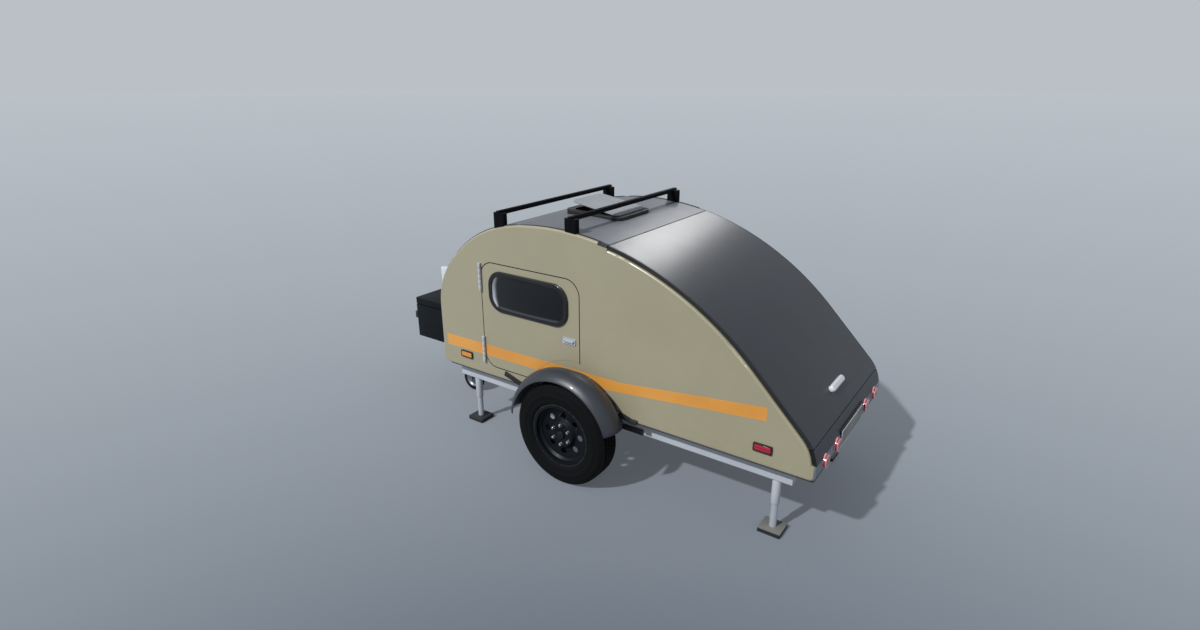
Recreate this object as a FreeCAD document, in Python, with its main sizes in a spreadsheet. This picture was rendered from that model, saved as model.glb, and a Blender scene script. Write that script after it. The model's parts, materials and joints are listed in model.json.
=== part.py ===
"""Teardrop trailer, in millimetres: X points to the coupler, Y to the left side, Z up.

Lengths along the trailer are measured from the wheel axle in the sheet; every sub-part is then
moved by origin_shift, so that the origin lies on the ground under the middle of the whole trailer.
"""
import FreeCAD
import Part
import Sketcher

import math
import os
import re

V = FreeCAD.Vector

# name, value, what it is
SIZES = (
    # overall places, measured from the axle
    ("front_reach", 2380, "axle to the tip of the coupler"),
    ("tail_reach", 1622, "axle to the tail panel"),
    ("half_track", 790, "middle of the trailer to the middle of a tyre"),
    # body shell
    ("body_width", 1330, "over both side walls"),
    ("body_base", 508, "lower edge of the side walls"),
    ("nose_reach", 1282, "axle to the upright front face"),
    ("shoulder_height", 966, "where the front face begins to lean back"),
    ("brow_radius", 508, "first arc above the front face"),
    ("brow_turn", 34.5, "degrees"),
    ("roof_radius", 972, "arc over the roof"),
    ("back_radius", 2019, "long arc from the roof to the straight back"),
    ("back_lean", 135.8, "degrees from the front to what the straight back faces"),
    ("tail_corner", 680, "height where the straight back would meet the tail"),
    ("toe_radius", 40, "rounded lower corners of the profile"),
    ("tail_round", 280, "rounding between the straight back and the tail"),
    ("wall_thick", 30, "side wall"),
    ("wall_round", 16, "rounded outer edge of a side wall"),
    ("skin_thick", 8, "front and roof sheet"),
    ("skin_inset", 18, "edge of the roof sheet inside the wall face"),
    ("skin_line", 1.5, "dark line between the roof sheet and the wall's edge"),
    ("floor_thick", 40, "floor panel"),
    ("floor_lap", 20, "how far the floor hangs below the walls"),
    ("tail_thick", 14, "tail panel"),
    ("tail_height", 97, "tail panel"),
    ("bulkhead_reach", 620, "axle to the cabin side of the bulkhead"),
    ("bulkhead_thick", 18, "bulkhead"),
    ("counter_height", 900, "top of the galley counter"),
    ("counter_depth", 430, "galley counter, fore and aft"),
    ("counter_thick", 22, "galley counter"),
    ("counter_lip", 25, "galley counter in front of its cabinet"),
    # hatch
    ("seam_reach", 238, "axle back to the hatch hinge line"),
    ("hatch_thick", 22, "hatch panel"),
    ("hatch_foot", 700, "height of the hatch's lower edge"),
    ("hatch_inset", 10, "side of the hatch inside the wall face"),
    ("hatch_trim", 12, "width of the side trim of the hatch"),
    ("gap", 5, "running gap round doors, hatch and lids"),
    ("play", 0.3, "clearance of a hinge, a bore or a pin"),
    ("grip_length", 220, "hatch handle"),
    ("grip_width", 42, "hatch handle"),
    ("grip_stand", 28, "hatch handle out from the panel"),
    ("grip_round", 19, "rounded ends of the hatch handle"),
    ("grip_soft", 12, "rounded outer edge of the hatch handle"),
    ("grip_height", 810, "hatch handle above the ground"),
    # doors
    ("door_front", 838, "axle to the front edge of the door opening"),
    ("door_rear", 30, "axle back to the rear edge of the door opening"),
    ("door_base", 588, "lower edge of the door opening"),
    ("door_top", 1382, "upper edge of the door opening"),
    ("door_round", 115, "corners of the door opening"),
    ("window_front", 758, "axle to the front edge of the window frame"),
    ("window_length", 697, "window frame"),
    ("window_base", 1033, "lower edge of the window frame"),
    ("window_height", 297, "window frame"),
    ("window_round", 115, "corners of the window frame"),
    ("window_rim", 30, "width of the window frame"),
    ("window_seat", 18, "how far the frame laps over the door"),
    ("window_proud", 14, "window frame out from the door"),
    ("window_soft", 8, "rounded outer edge of the window frame"),
    ("pane_thick", 8, "window pane inside the door's face"),
    ("pane_bulge", 25, "middle of the pane out from the door's face"),
    ("handle_length", 109, "door handle"),
    ("handle_height", 45, "door handle"),
    ("handle_rear", 3, "axle to the rear end of the door handle"),
    ("handle_drop", 55, "door handle below the window frame"),
    ("handle_soft", 11, "rounded corners of the door handle"),
    ("handle_depth", 18, "door handle out from the door"),
    ("hinge_radius", 11, "door hinge knuckle"),
    ("hinge_length", 202, "door hinge knuckle"),
    ("hinge_upper", 1162, "foot of the upper hinge"),
    ("hinge_lower", 613, "foot of the lower hinge"),
    # chassis
    ("rail_offset", 520, "middle of the trailer to the middle of a rail"),
    ("rail_width", 60, "side rail"),
    ("rail_height", 122, "side rail"),
    ("rail_front", 1225, "axle to the front end of a rail"),
    ("rail_setback", 155, "rear end of a rail inside the tail panel"),
    ("cross_width", 50, "crossmember"),
    ("cross_height", 42, "crossmember"),
    ("tongue_width", 90, "drawbar"),
    ("tongue_height", 80, "drawbar"),
    ("tongue_root", 350, "axle to the rear end of the drawbar"),
    ("coupler_length", 260, "coupler over all"),
    ("coupler_height", 55, "coupler head"),
    ("coupler_wall", 12.5, "coupler head round its ball"),
    ("coupler_saddle", 160, "saddle of the coupler on the drawbar"),
    ("saddle_width", 72, "saddle of the coupler on the drawbar"),
    ("saddle_height", 25, "saddle of the coupler on the drawbar"),
    ("ball_bore", 50, "ball that the coupler takes"),
    ("ball_depth", 40, "depth of the ball's socket"),
    # running gear
    ("tyre_radius", 360, "tyre"),
    ("tyre_width", 190, "tyre"),
    ("tread_width", 142, "tread of a tyre, between its shoulders"),
    ("shoulder_drop", 22, "bevelled shoulder of a tyre below its tread"),
    ("rim_radius", 222, "rim flange"),
    ("bead_radius", 204, "bead seat of the rim"),
    ("bead_width", 17, "flat of the bead seat"),
    ("rim_width", 150, "rim over the flanges"),
    ("rim_thick", 8, "rim sheet"),
    ("well_depth", 18, "drop of the rim's well below the bead seat"),
    ("well_width", 70, "flat bottom of the rim's well"),
    ("disc_depth", 28, "seat of the wheel nuts inside the rim's face"),
    ("disc_thick", 8, "raised middle of the rim's disc"),
    ("disc_step", 18, "raised middle of the disc above the ring of vents"),
    ("disc_radius", 88, "raised middle of the rim's disc"),
    ("disc_hole", 30, "radius of the hole in the middle of the disc"),
    ("hub_radius", 62, "wheel hub"),
    ("hub_gap", 8, "wheel hub from the side wall"),
    ("cap_radius", 28, "hub cap"),
    ("cap_depth", 24, "hub cap out from the hub"),
    ("bolt_circle", 140, "wheel nuts"),
    ("nut_radius", 12, "wheel nut"),
    ("nut_depth", 20, "wheel nut"),
    ("nut_count", 6, "nuts on a wheel"),
    ("vent_hole", 22, "radius of a rim vent"),
    ("vent_circle", 268, "circle of the rim vents"),
    ("vent_count", 8, "vents in a rim"),
    ("axle_size", 70, "square axle tube"),
    ("axle_ahead", 150, "axle tube ahead of the wheel centre"),
    ("arm_width", 40, "trailing arm"),
    ("arm_height", 60, "trailing arm"),
    ("spindle_radius", 22, "stub axle"),
    ("spindle_past", 37.5, "end of the stub axle past the middle of its tyre"),
    ("plate_length", 920, "axle mounting plate along the rail"),
    ("plate_height", 42, "axle mounting plate"),
    ("plate_thick", 8, "axle mounting plate"),
    # fenders
    ("fender_radius", 450, "middle of the wheel to the crest of the fender"),
    ("fender_crest", 130, "crest of the fender out from the wall"),
    ("fender_dome", 110, "radius of the fender's domed section"),
    ("fender_lip", 97, "crest of the fender across to its lip"),
    ("fender_thick", 6, "fender sheet"),
    ("fender_front", 8, "degrees above level where the fender begins"),
    ("fender_rear", 17.5, "degrees above level where the fender ends"),
    ("stay_width", 36, "fender stay"),
    ("stay_thick", 10, "fender stay"),
    ("stay_slope", 17, "degrees that a stay rises forwards"),
    ("stay_length", 185, "fender stay before it is cut to the fender"),
    ("stay_front", 645, "axle to the front end of the front stay"),
    ("stay_front_rise", 59, "front end of the front stay above the wall's foot"),
    ("stay_rear", 436, "axle back to the rear end of the rear stay"),
    ("stay_rear_rise", 9, "rear end of the rear stay above the wall's foot"),
    ("tab_length", 46, "bracket behind the rear stay"),
    ("tab_height", 27, "bracket behind the rear stay"),
    ("tab_depth", 24, "bracket behind the rear stay"),
    # stabiliser legs
    ("leg_nose", 147, "front legs behind the front end of a rail"),
    ("leg_setback", 102, "rear legs ahead of the rear end of a rail"),
    ("leg_offset", 515, "middle of the trailer to the legs"),
    ("sleeve_radius", 27, "outer tube of a leg"),
    ("sleeve_length", 170, "outer tube of a leg"),
    ("post_radius", 22, "inner tube of a leg"),
    ("pad_length", 142, "foot pad"),
    ("pad_width", 136, "foot pad"),
    ("pad_height", 30, "foot pad"),
    # jockey wheel
    ("jockey_reach", 1495, "axle to the jockey wheel"),
    ("jockey_offset", 167, "middle of the trailer to the jockey wheel"),
    ("jockey_radius", 105, "jockey wheel"),
    ("jockey_width", 55, "jockey wheel"),
    ("jockey_bevel", 10, "bevelled edges of the jockey wheel"),
    ("jockey_trail", 35, "jockey wheel behind its stem"),
    ("stem_radius", 24, "jockey stem"),
    ("stem_top", 800, "top of the jockey stem"),
    ("stem_foot", 262, "foot of the jockey stem"),
    ("fork_thick", 8, "jockey fork"),
    # toolbox
    ("box_front", 1942, "axle to the front face of the toolbox"),
    ("box_length", 360, "toolbox, fore and aft"),
    ("box_width", 700, "toolbox"),
    ("box_base", 465, "foot of the toolbox"),
    ("box_height", 346, "toolbox with its lid"),
    ("box_sheet", 4, "toolbox sheet"),
    ("lid_height", 60, "toolbox lid"),
    ("box_hinge", 8, "radius of a toolbox hinge"),
    ("box_hinge_length", 70, "toolbox hinge"),
    ("box_hinge_offset", 260, "middle of the trailer to the far end of a toolbox hinge"),
    # roof
    ("bar_front", 640, "axle to the front crossbar"),
    ("bar_rear", 40, "axle to the rear crossbar"),
    ("bar_front_rise", 59.5, "top of the front crossbar above the highest part of the roof"),
    ("bar_rear_rise", 91.5, "top of the rear crossbar above the highest part of the roof"),
    ("bar_length", 1334, "crossbar"),
    ("bar_size", 28, "crossbar"),
    ("foot_length", 95, "crossbar foot, fore and aft"),
    ("foot_width", 45, "crossbar foot"),
    ("foot_round", 14, "rounded upright edges of a crossbar foot"),
    ("foot_drop", 140, "crossbar foot before it is cut to the roof"),
    ("foot_inset", 2, "crossbar foot inside the end of its bar"),
    ("vent_reach", 205, "axle to the middle of the roof vent"),
    ("vent_length", 460, "roof vent frame, fore and aft"),
    ("vent_width", 430, "roof vent frame"),
    ("vent_rise", 18, "middle of the roof vent frame above the highest part of the roof"),
    ("vent_tilt", 2, "degrees that the roof vent slopes down to the rear"),
    ("vent_rim", 46, "width of the roof vent frame"),
    ("vent_round", 60, "corners of the roof vent"),
    ("lid_thick", 10, "roof vent lid"),
    ("lid_inset", 34, "roof vent lid inside the edge of its frame"),
    ("lid_seal", 0.9, "roof vent lid above its frame when shut"),
    ("lid_tilt", 7.2, "degrees that the roof vent lid stands open"),
    # lamps and signs
    ("lamp_radius", 45, "round tail lamp"),
    ("lamp_depth", 18, "tail lamp out from the tail panel"),
    ("lamp_height", 575, "tail lamps above the ground"),
    ("lamp_outer", 515, "middle of the trailer to an outer tail lamp"),
    ("lamp_inner", 300, "middle of the trailer to an inner tail lamp"),
    ("marker_length", 114, "side marker"),
    ("marker_height", 52, "side marker"),
    ("marker_depth", 12, "side marker"),
    ("marker_base", 598, "lower edge of the side markers"),
    ("marker_nose", 315, "rear end of the front marker behind the front face"),
    ("marker_tail", 252, "rear end of the rear marker ahead of the tail panel"),
    ("sign_width", 440, "number plate"),
    ("sign_height", 110, "number plate"),
    ("sign_thick", 3, "number plate, and its holder below it"),
    ("sign_base", 515, "lower edge of the number plate"),
    ("sign_frame", 8, "holder outside the number plate"),
    ("nose_lamp_offset", 600, "middle of the trailer to a front lamp"),
    ("nose_lamp_height", 1190, "middle of a front lamp above the ground"),
    ("nose_lamp_length", 120, "front lamp"),
    ("nose_lamp_width", 44, "front lamp"),
    ("nose_lamp_depth", 150, "front lamp before it is cut to the front"),
    ("nose_lamp_proud", 10, "front lamp ahead of the upright front face"),
)

# name and formula of each size that follows from the ones above
DERIVED = (
    ("origin_shift", "(tail_reach + lamp_depth - front_reach) / 2"),
    ("half_body", "body_width / 2"),
    ("floor_base", "body_base - floor_lap"),
    ("rail_base", "floor_base - rail_height"),
    ("tongue_base", "floor_base - cross_height - tongue_height"),
    ("inside", "half_body - wall_thick"),
    ("tail_top", "body_base + tail_height"),
    ("hatch_half", "half_body - hatch_inset"),
    ("rail_tail", "tail_reach - rail_setback"),
    ("leg_front", "rail_front - leg_nose"),
    ("leg_rear", "rail_tail - leg_setback"),
    ("marker_front", "nose_reach - marker_nose"),
    ("marker_rear", "tail_reach - marker_tail"),
    ("handle_base", "window_base - handle_drop - handle_height"),
    ("coupler_round", "ball_bore / 2 + coupler_wall"),
    ("ball_reach", "front_reach - coupler_round"),
    ("rim_face", "half_track + rim_width / 2"),
    ("disc_face", "rim_face - disc_depth"),
    ("dome_middle", "fender_radius - fender_dome"),
    ("spindle_end", "half_track + spindle_past"),
)

doc = FreeCAD.newDocument("teardrop_trailer")
sheet = doc.addObject("Spreadsheet::Sheet", "Sizes")
nodes = []


class Sizes:
    """The cells of the sheet, read by name."""

    def __getattr__(self, name):
        return float(sheet.get(name))


size = Sizes()


def fill_sheet():
    """Put each size in a cell of its own, with its name as the alias."""
    row = 0
    for name, value, meaning in SIZES:
        row += 1
        sheet.set(f"A{row}", str(value))
        sheet.setAlias(f"A{row}", name)
        sheet.set(f"B{row}", meaning)
    for name, formula in DERIVED:
        row += 1
        sheet.set(f"A{row}", "=" + formula)
        sheet.setAlias(f"A{row}", name)
    doc.recompute()


KNOWN = {row[0] for row in SIZES + DERIVED}


def tied(formula):
    """Turn a formula on the sizes into an expression on the sheet's cells."""
    return re.sub(r"[a-z_]+", lambda found: "Sizes." + found.group() if found.group() in KNOWN
                  else found.group(), formula)


def bind(thing, **formulas):
    """Tie properties to formulas; a double underscore stands for a dot."""
    for name, formula in formulas.items():
        thing.setExpression(name.replace("__", "."), tied(formula))
    return thing


def place(thing, x, y, z, rotation=None):
    """Place a thing at formulas measured from the axle, the middle and the ground."""
    thing.Placement = FreeCAD.Placement(V(), rotation or FreeCAD.Rotation())
    return bind(thing, Placement__Base__x=f"origin_shift + {x}", Placement__Base__y=y,
                Placement__Base__z=z)


def node(thing, label=None):
    """Mark a finished sub-part, which is written to a file of its own."""
    if label:
        thing.Label = label
    nodes.append(thing)
    return thing


TURN = {"x": FreeCAD.Rotation(V(0, 1, 0), 90), "y": FreeCAD.Rotation(V(1, 0, 0), -90), "z": None}


def box(label, length, width, height, x, y, z):
    """A block whose lowest corner is at x, y, z."""
    thing = doc.addObject("Part::Box", label)
    bind(thing, Length=length, Width=width, Height=height)
    return place(thing, x, y, z)


def rod(label, radius, height, x, y, z, axis="z"):
    """A round bar that starts at x, y, z and runs along the axis."""
    thing = doc.addObject("Part::Cylinder", label)
    bind(thing, Radius=radius, Height=height)
    return place(thing, x, y, z, TURN[axis])


def fused(label, *parts):
    """Join parts into one solid."""
    thing = doc.addObject("Part::MultiFuse", label)
    thing.Shapes = list(parts)
    thing.Refine = True
    return thing


def cut(label, base, *tools):
    """Take tools away from a base."""
    tool = tools[0] if len(tools) == 1 else fused(label + "_tool", *tools)
    thing = doc.addObject("Part::Cut", label)
    thing.Base = base
    thing.Tool = tool
    thing.Refine = True
    return thing


def mirrored(label, source):
    """The same piece on the right-hand side."""
    thing = doc.addObject("Part::Mirroring", label)
    thing.Source = source
    thing.Normal = V(0, 1, 0)
    return thing


def pair(make):
    """Make a left-hand piece and its mirror image, both as nodes."""
    left = node(make)
    right = node(mirrored(left.Label.replace("left", "right"), left))
    return left, right


def both(label, left):
    """A left-hand piece and its mirror image, kept together in one node."""
    left.Label = label + "_of_the_left"
    return group(label, left, mirrored(label + "_of_the_right", left))


def group(label, *parts):
    """Like pieces that do not touch, kept together in one node."""
    thing = doc.addObject("Part::Compound", label)
    thing.Links = list(parts)
    return node(thing)


def shaped(label, shape):
    """A piece with a free shape, made from the sheet's values and measured from the axle."""
    thing = doc.addObject("Part::Feature", label)
    thing.Shape = shape
    shift = FreeCAD.Placement(V(size.origin_shift, 0, 0), FreeCAD.Rotation())
    thing.Placement = shift.multiply(shape.Placement)
    return thing


def sketched_bar(label, width, height, length, corner, x, y, z, rotation=None):
    """A bar with rounded long edges: a sketched section, padded along its own X."""
    body = doc.addObject("PartDesign::Body", label)
    sketch = body.newObject("Sketcher::SketchObject", label + "_section")
    plane = [f for f in body.Origin.OriginFeatures if f.Role == "YZ_Plane"][0]
    sketch.AttachmentSupport = [(plane, "")]
    sketch.MapMode = "FlatFace"
    corners = [V(-1, 0, 0), V(1, 0, 0), V(1, 2, 0), V(-1, 2, 0)]
    for start, end in zip(corners, corners[1:] + corners[:1]):
        sketch.addGeometry(Part.LineSegment(start * 10, end * 10))
    for side in range(4):
        sketch.addConstraint(Sketcher.Constraint("Coincident", side, 2, (side + 1) % 4, 1))
    for side, kind in enumerate(("Horizontal", "Vertical", "Horizontal", "Vertical")):
        sketch.addConstraint(Sketcher.Constraint(kind, side))
    sketch.addConstraint(Sketcher.Constraint("Symmetric", 0, 1, 0, 2, -1, 1))
    for name, side, formula in (("across", 0, width), ("upright", 1, height)):
        sketch.addConstraint(Sketcher.Constraint("Distance", side, 20))
        sketch.renameConstraint(sketch.ConstraintCount - 1, name)
        sketch.setExpression("Constraints." + name, tied(formula))
    pad = body.newObject("PartDesign::Pad", label + "_length")
    pad.Profile = sketch
    bind(pad, Length=length)
    doc.recompute()
    if corner:
        long_edges = [f"Edge{number}" for number, edge in enumerate(pad.Shape.Edges, start=1)
                      if abs(edge.tangentAt(0).x) > 0.99]
        rounding = body.newObject("PartDesign::Fillet", label + "_round")
        rounding.Base = (pad, long_edges)
        rounding.Radius = corner
    return place(body, x, y, z, rotation)


# ---------------------------------------------------------------- body profile

def facing(angle):
    """The direction at an angle above the front, in the XZ plane."""
    return V(math.cos(angle), 0, math.sin(angle))


def profile(inset=0.0):
    """Side outline of the body as a face in the XZ plane, drawn clockwise from the nose's foot."""
    toe = size.toe_radius - min(inset, size.toe_radius - 1)
    base = size.body_base + inset
    edges = []
    at = V(size.nose_reach - inset, 0, base + toe)

    def line_to(end):
        nonlocal at
        edges.append(Part.LineSegment(at, end).toShape())
        at = end

    def arc_to(centre, start_angle, end_angle, radius):
        nonlocal at
        middle = (start_angle + end_angle) / 2
        spot = [centre + facing(a) * radius for a in (middle, end_angle)]
        edges.append(Part.Arc(at, spot[0], spot[1]).toShape())
        at = spot[1]

    line_to(V(at.x, 0, size.shoulder_height))
    brow, lean = math.radians(size.brow_turn), math.radians(size.back_lean)
    out, along = facing(lean), facing(lean + math.pi / 2)
    corner = V(-size.tail_reach, 0, size.tail_corner)
    brow_centre = V(size.nose_reach - size.brow_radius, 0, size.shoulder_height)
    roof_centre = brow_centre + facing(brow) * (size.brow_radius - size.roof_radius)
    deep = (corner - roof_centre).dot(out) - size.back_radius
    apart = size.back_radius - size.roof_radius
    back_centre = roof_centre + out * deep + along * math.sqrt(apart ** 2 - deep ** 2)
    crown = math.atan2(roof_centre.z - back_centre.z, roof_centre.x - back_centre.x)
    arc_to(brow_centre, 0, brow, size.brow_radius - inset)
    arc_to(roof_centre, brow, crown, size.roof_radius - inset)
    arc_to(back_centre, crown, lean, size.back_radius - inset)
    tail = -size.tail_reach + inset
    rounding = size.tail_round - inset
    corner = at + along * ((tail - at.x) / along.x)
    tangent = rounding * math.tan((math.pi - lean) / 2)
    line_to(corner - along * tangent)
    centre = V(tail + rounding, 0, corner.z - tangent)
    arc_to(centre, lean, math.pi, rounding)
    line_to(V(tail, 0, base + toe))
    arc_to(V(tail + toe, 0, base + toe), math.pi, 1.5 * math.pi, toe)
    line_to(V(size.nose_reach - inset - toe, 0, base))
    arc_to(V(at.x, 0, base + toe), 1.5 * math.pi, 2 * math.pi, toe)
    return Part.Face(Part.Wire(edges))


def across(face, start, end):
    """Stretch a face in the XZ plane from one place to another across the trailer."""
    solid = face.extrude(V(0, end - start, 0))
    solid.translate(V(0, start, 0))
    return solid


def block(x0, x1, y0, y1, z0, z1):
    """A plain block between two corners."""
    return Part.makeBox(x1 - x0, y1 - y0, z1 - z0, V(x0, y0, z0))


FAR = 4000


def region(x0=-FAR, x1=FAR, z0=-FAR, z1=FAR):
    """A block as wide as anything, to keep or to remove part of a shape."""
    return block(x0, x1, -FAR, FAR, z0, z1)


def rounded_plate(x0, x1, z0, z1, radius, y0, y1):
    """A plate in the XZ plane with rounded corners, from y0 to y1."""
    plate = block(x0, x1, y0, y1, z0, z1)
    corners = [edge for edge in plate.Edges if abs(edge.tangentAt(0).y) > 0.99]
    return plate.makeFillet(radius, corners)


def shell(inset, half_width):
    """The layer between the outline and an inner outline, over the whole width."""
    return across(profile().cut(profile(inset)), -half_width, half_width)


def skin_solid():
    """Front and roof sheet, from under the nose to the hatch seam."""
    sheet_metal = shell(size.skin_thick, size.half_body - size.skin_inset)
    sheet_metal = sheet_metal.common(region(x0=-size.seam_reach))
    under = region(x1=size.nose_reach - size.toe_radius, z1=size.body_base + size.skin_thick + 1)
    return sheet_metal.cut(under)


def back_layer(inset, half_width, z0, z1):
    """Part of the layer behind the seam, between two heights."""
    layer = shell(inset, half_width)
    return layer.common(region(x1=-size.seam_reach, z0=z0, z1=z1))


def door_solid(shrink):
    """The door opening, or the door panel when shrunk by the gap."""
    outer = size.half_body
    plate = rounded_plate(-size.door_rear + shrink, size.door_front - shrink,
                          size.door_base + shrink, size.door_top - shrink,
                          size.door_round - shrink, outer - size.wall_thick, outer)
    arch = Part.makeCylinder(size.fender_radius + size.gap + shrink, 2 * FAR,
                             V(0, -FAR, size.tyre_radius), V(0, 1, 0))
    return plate.cut(arch)


def window_plate(shrink, y0, y1):
    """A plate with the window's outline, shrunk all round."""
    front = size.window_front - shrink
    return rounded_plate(size.window_front - size.window_length + shrink, front,
                         size.window_base + shrink,
                         size.window_base + size.window_height - shrink,
                         size.window_round - shrink, y0, y1)


def rounded_wall(outline):
    """A side wall with this outline, its outer edge rounded along every line that slopes."""
    wall = across(outline, size.inside, size.half_body)
    cut_ends = outline.BoundBox.XMax < 0
    rim = [edge for edge in wall.Edges if min(v.Y for v in edge.Vertexes) > size.half_body - 0.1]
    if cut_ends:
        rim = [edge for edge in rim
               if min(edge.BoundBox.XLength, edge.BoundBox.ZLength) > size.gap]
    return wall.makeFillet(size.wall_round, rim)


def build_shell():
    """Walls, floor, roof sheet, tail, bulkhead and galley counter."""
    outer = size.half_body
    tail_top = size.tail_top
    behind = region(x1=-size.seam_reach, z0=tail_top)
    side = rounded_wall(profile()).cut(behind)
    side = side.fuse(rounded_wall(profile(size.hatch_thick + size.gap).common(behind)))
    seat = shell(size.skin_thick, outer - size.skin_inset + size.skin_line)
    seat = seat.common(region(x0=-size.seam_reach))
    seat = seat.cut(region(x1=size.nose_reach - size.toe_radius,
                           z1=size.body_base + size.skin_thick + 1))
    side = side.cut(seat)
    side = side.cut(region(x1=-size.tail_reach + size.tail_thick, z1=tail_top))
    side = side.cut(door_solid(0))
    pair(shaped("wall_left", side))
    opening = block(size.vent_reach - size.vent_length / 2 + size.vent_rim,
                    size.vent_reach + size.vent_length / 2 - size.vent_rim,
                    -size.vent_width / 2 + size.vent_rim, size.vent_width / 2 - size.vent_rim,
                    size.shoulder_height, 2 * size.shoulder_height)
    node(shaped("roof_skin", skin_solid().cut(opening)))
    node(shaped("rear_valance", back_layer(size.hatch_thick, size.hatch_half, tail_top,
                                           size.hatch_foot - size.gap)))
    tail = across(profile(), -outer, outer)
    tail = tail.common(region(x1=-size.tail_reach + size.tail_thick, z1=tail_top))
    node(shaped("tail_panel", tail))
    node(box("floor_panel", "nose_reach - toe_radius + tail_reach - tail_thick", "2 * inside",
             "floor_thick", "tail_thick - tail_reach", "-inside", "floor_base"))
    under_roof = across(profile(size.hatch_thick + size.gap), -size.inside, size.inside)
    back = block(-size.bulkhead_reach - size.bulkhead_thick, -size.bulkhead_reach, -size.inside,
                 size.inside, size.floor_base + size.floor_thick, FAR)
    node(shaped("bulkhead", back.common(under_roof)))
    rear = -size.bulkhead_reach - size.bulkhead_thick
    top = block(rear - size.counter_depth, rear, -size.inside, size.inside,
                size.counter_height - size.counter_thick, size.counter_height)
    node(shaped("galley_counter", top))
    front = rear - size.counter_depth
    node(shaped("galley_cabinet", block(front + size.counter_lip,
                                        front + size.counter_lip + size.counter_thick,
                                        -size.inside, size.inside,
                                        size.floor_base + size.floor_thick,
                                        size.counter_height - size.counter_thick)))


def build_hatch():
    """Hatch panel with its side trims and handle."""
    half = size.hatch_half
    layer = back_layer(size.hatch_thick, half, size.hatch_foot, FAR)
    layer = layer.cut(region(x0=-size.seam_reach - size.gap))
    inner = half - size.hatch_trim
    node(shaped("hatch_panel", layer.common(block(-FAR, FAR, -inner, inner, -FAR, FAR))))
    trims = [layer.common(block(-FAR, FAR, *sides, -FAR, FAR))
             for sides in ((-half, -inner), (inner, half))]
    node(shaped("hatch_trims", Part.Compound([solid for trim in trims for solid in trim.Solids])))
    seam = profile().common(region(-size.seam_reach - size.gap / 2 - 0.1,
                                   -size.seam_reach - size.gap / 2 + 0.1))
    pin = Part.makeCylinder(size.gap / 2 - size.play, 2 * inner,
                            V(-size.seam_reach - size.gap / 2, -inner, seam.BoundBox.ZMax),
                            V(0, 1, 0))
    node(shaped("hatch_hinge", pin))
    line = profile().common(region(x1=-size.seam_reach, z0=size.grip_height - 0.5,
                                   z1=size.grip_height + 0.5))
    grip = upright_plate(-size.grip_width / 2, size.grip_width / 2, -size.grip_length / 2,
                         size.grip_length / 2, size.grip_round, -size.grip_stand, size.grip_stand)
    grip = grip.makeFillet(size.grip_soft, [edge for edge in grip.Edges if
                                            min(v.Z for v in edge.Vertexes) > size.grip_stand / 2])
    grip.rotate(V(), V(0, 1, 0), 90 - size.back_lean)
    grip.translate(V(line.BoundBox.XMin, 0, size.grip_height))
    node(shaped("hatch_handle", grip.cut(across(profile(), -half, half))))


def build_doors():
    """Door panels with their windows, panes, handles and hinge knuckles."""
    outer = size.half_body
    seat = size.window_seat
    panel = door_solid(size.gap).cut(window_plate(seat, outer - 2 * size.wall_thick, outer + 1))
    pair(shaped("door_left", panel))
    face = outer + size.window_proud
    rim = window_plate(0, outer, face)
    rim = rim.makeFillet(size.window_soft, [edge for edge in rim.Edges
                                            if min(v.Y for v in edge.Vertexes) > face - 0.1])
    sleeve = window_plate(seat, outer - size.wall_thick, outer)
    light = window_plate(size.window_rim, outer - 2 * size.wall_thick, outer + size.wall_thick)
    pair(shaped("door_window_frame_left", rim.fuse(sleeve).cut(light)))
    bulge = size.pane_bulge
    half_length = size.window_length / 2
    dome = (half_length ** 2 + bulge ** 2) / (2 * bulge)
    middle = V(size.window_front - half_length, outer + bulge - dome,
               size.window_base + size.window_height / 2)
    ball = Part.makeSphere(dome, middle)
    pane = window_plate(size.window_rim, outer - size.pane_thick, outer + 2 * bulge)
    pair(shaped("door_pane_left", pane.common(ball)))
    handle = rounded_plate(size.handle_rear, size.handle_rear + size.handle_length,
                           size.handle_base, size.handle_base + size.handle_height,
                           size.handle_soft, outer, outer + size.handle_depth)
    pair(shaped("door_handle_left", handle))
    knuckles = [rod(f"hinge_{which}_{side}", "hinge_radius", "hinge_length",
                    "door_front - gap / 2", f"{sign}(half_body + hinge_radius)", foot)
                for which, foot in (("upper", "hinge_upper"), ("lower", "hinge_lower"))
                for side, sign in (("left", ""), ("right", "-"))]
    group("door_hinges", *knuckles)


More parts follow.
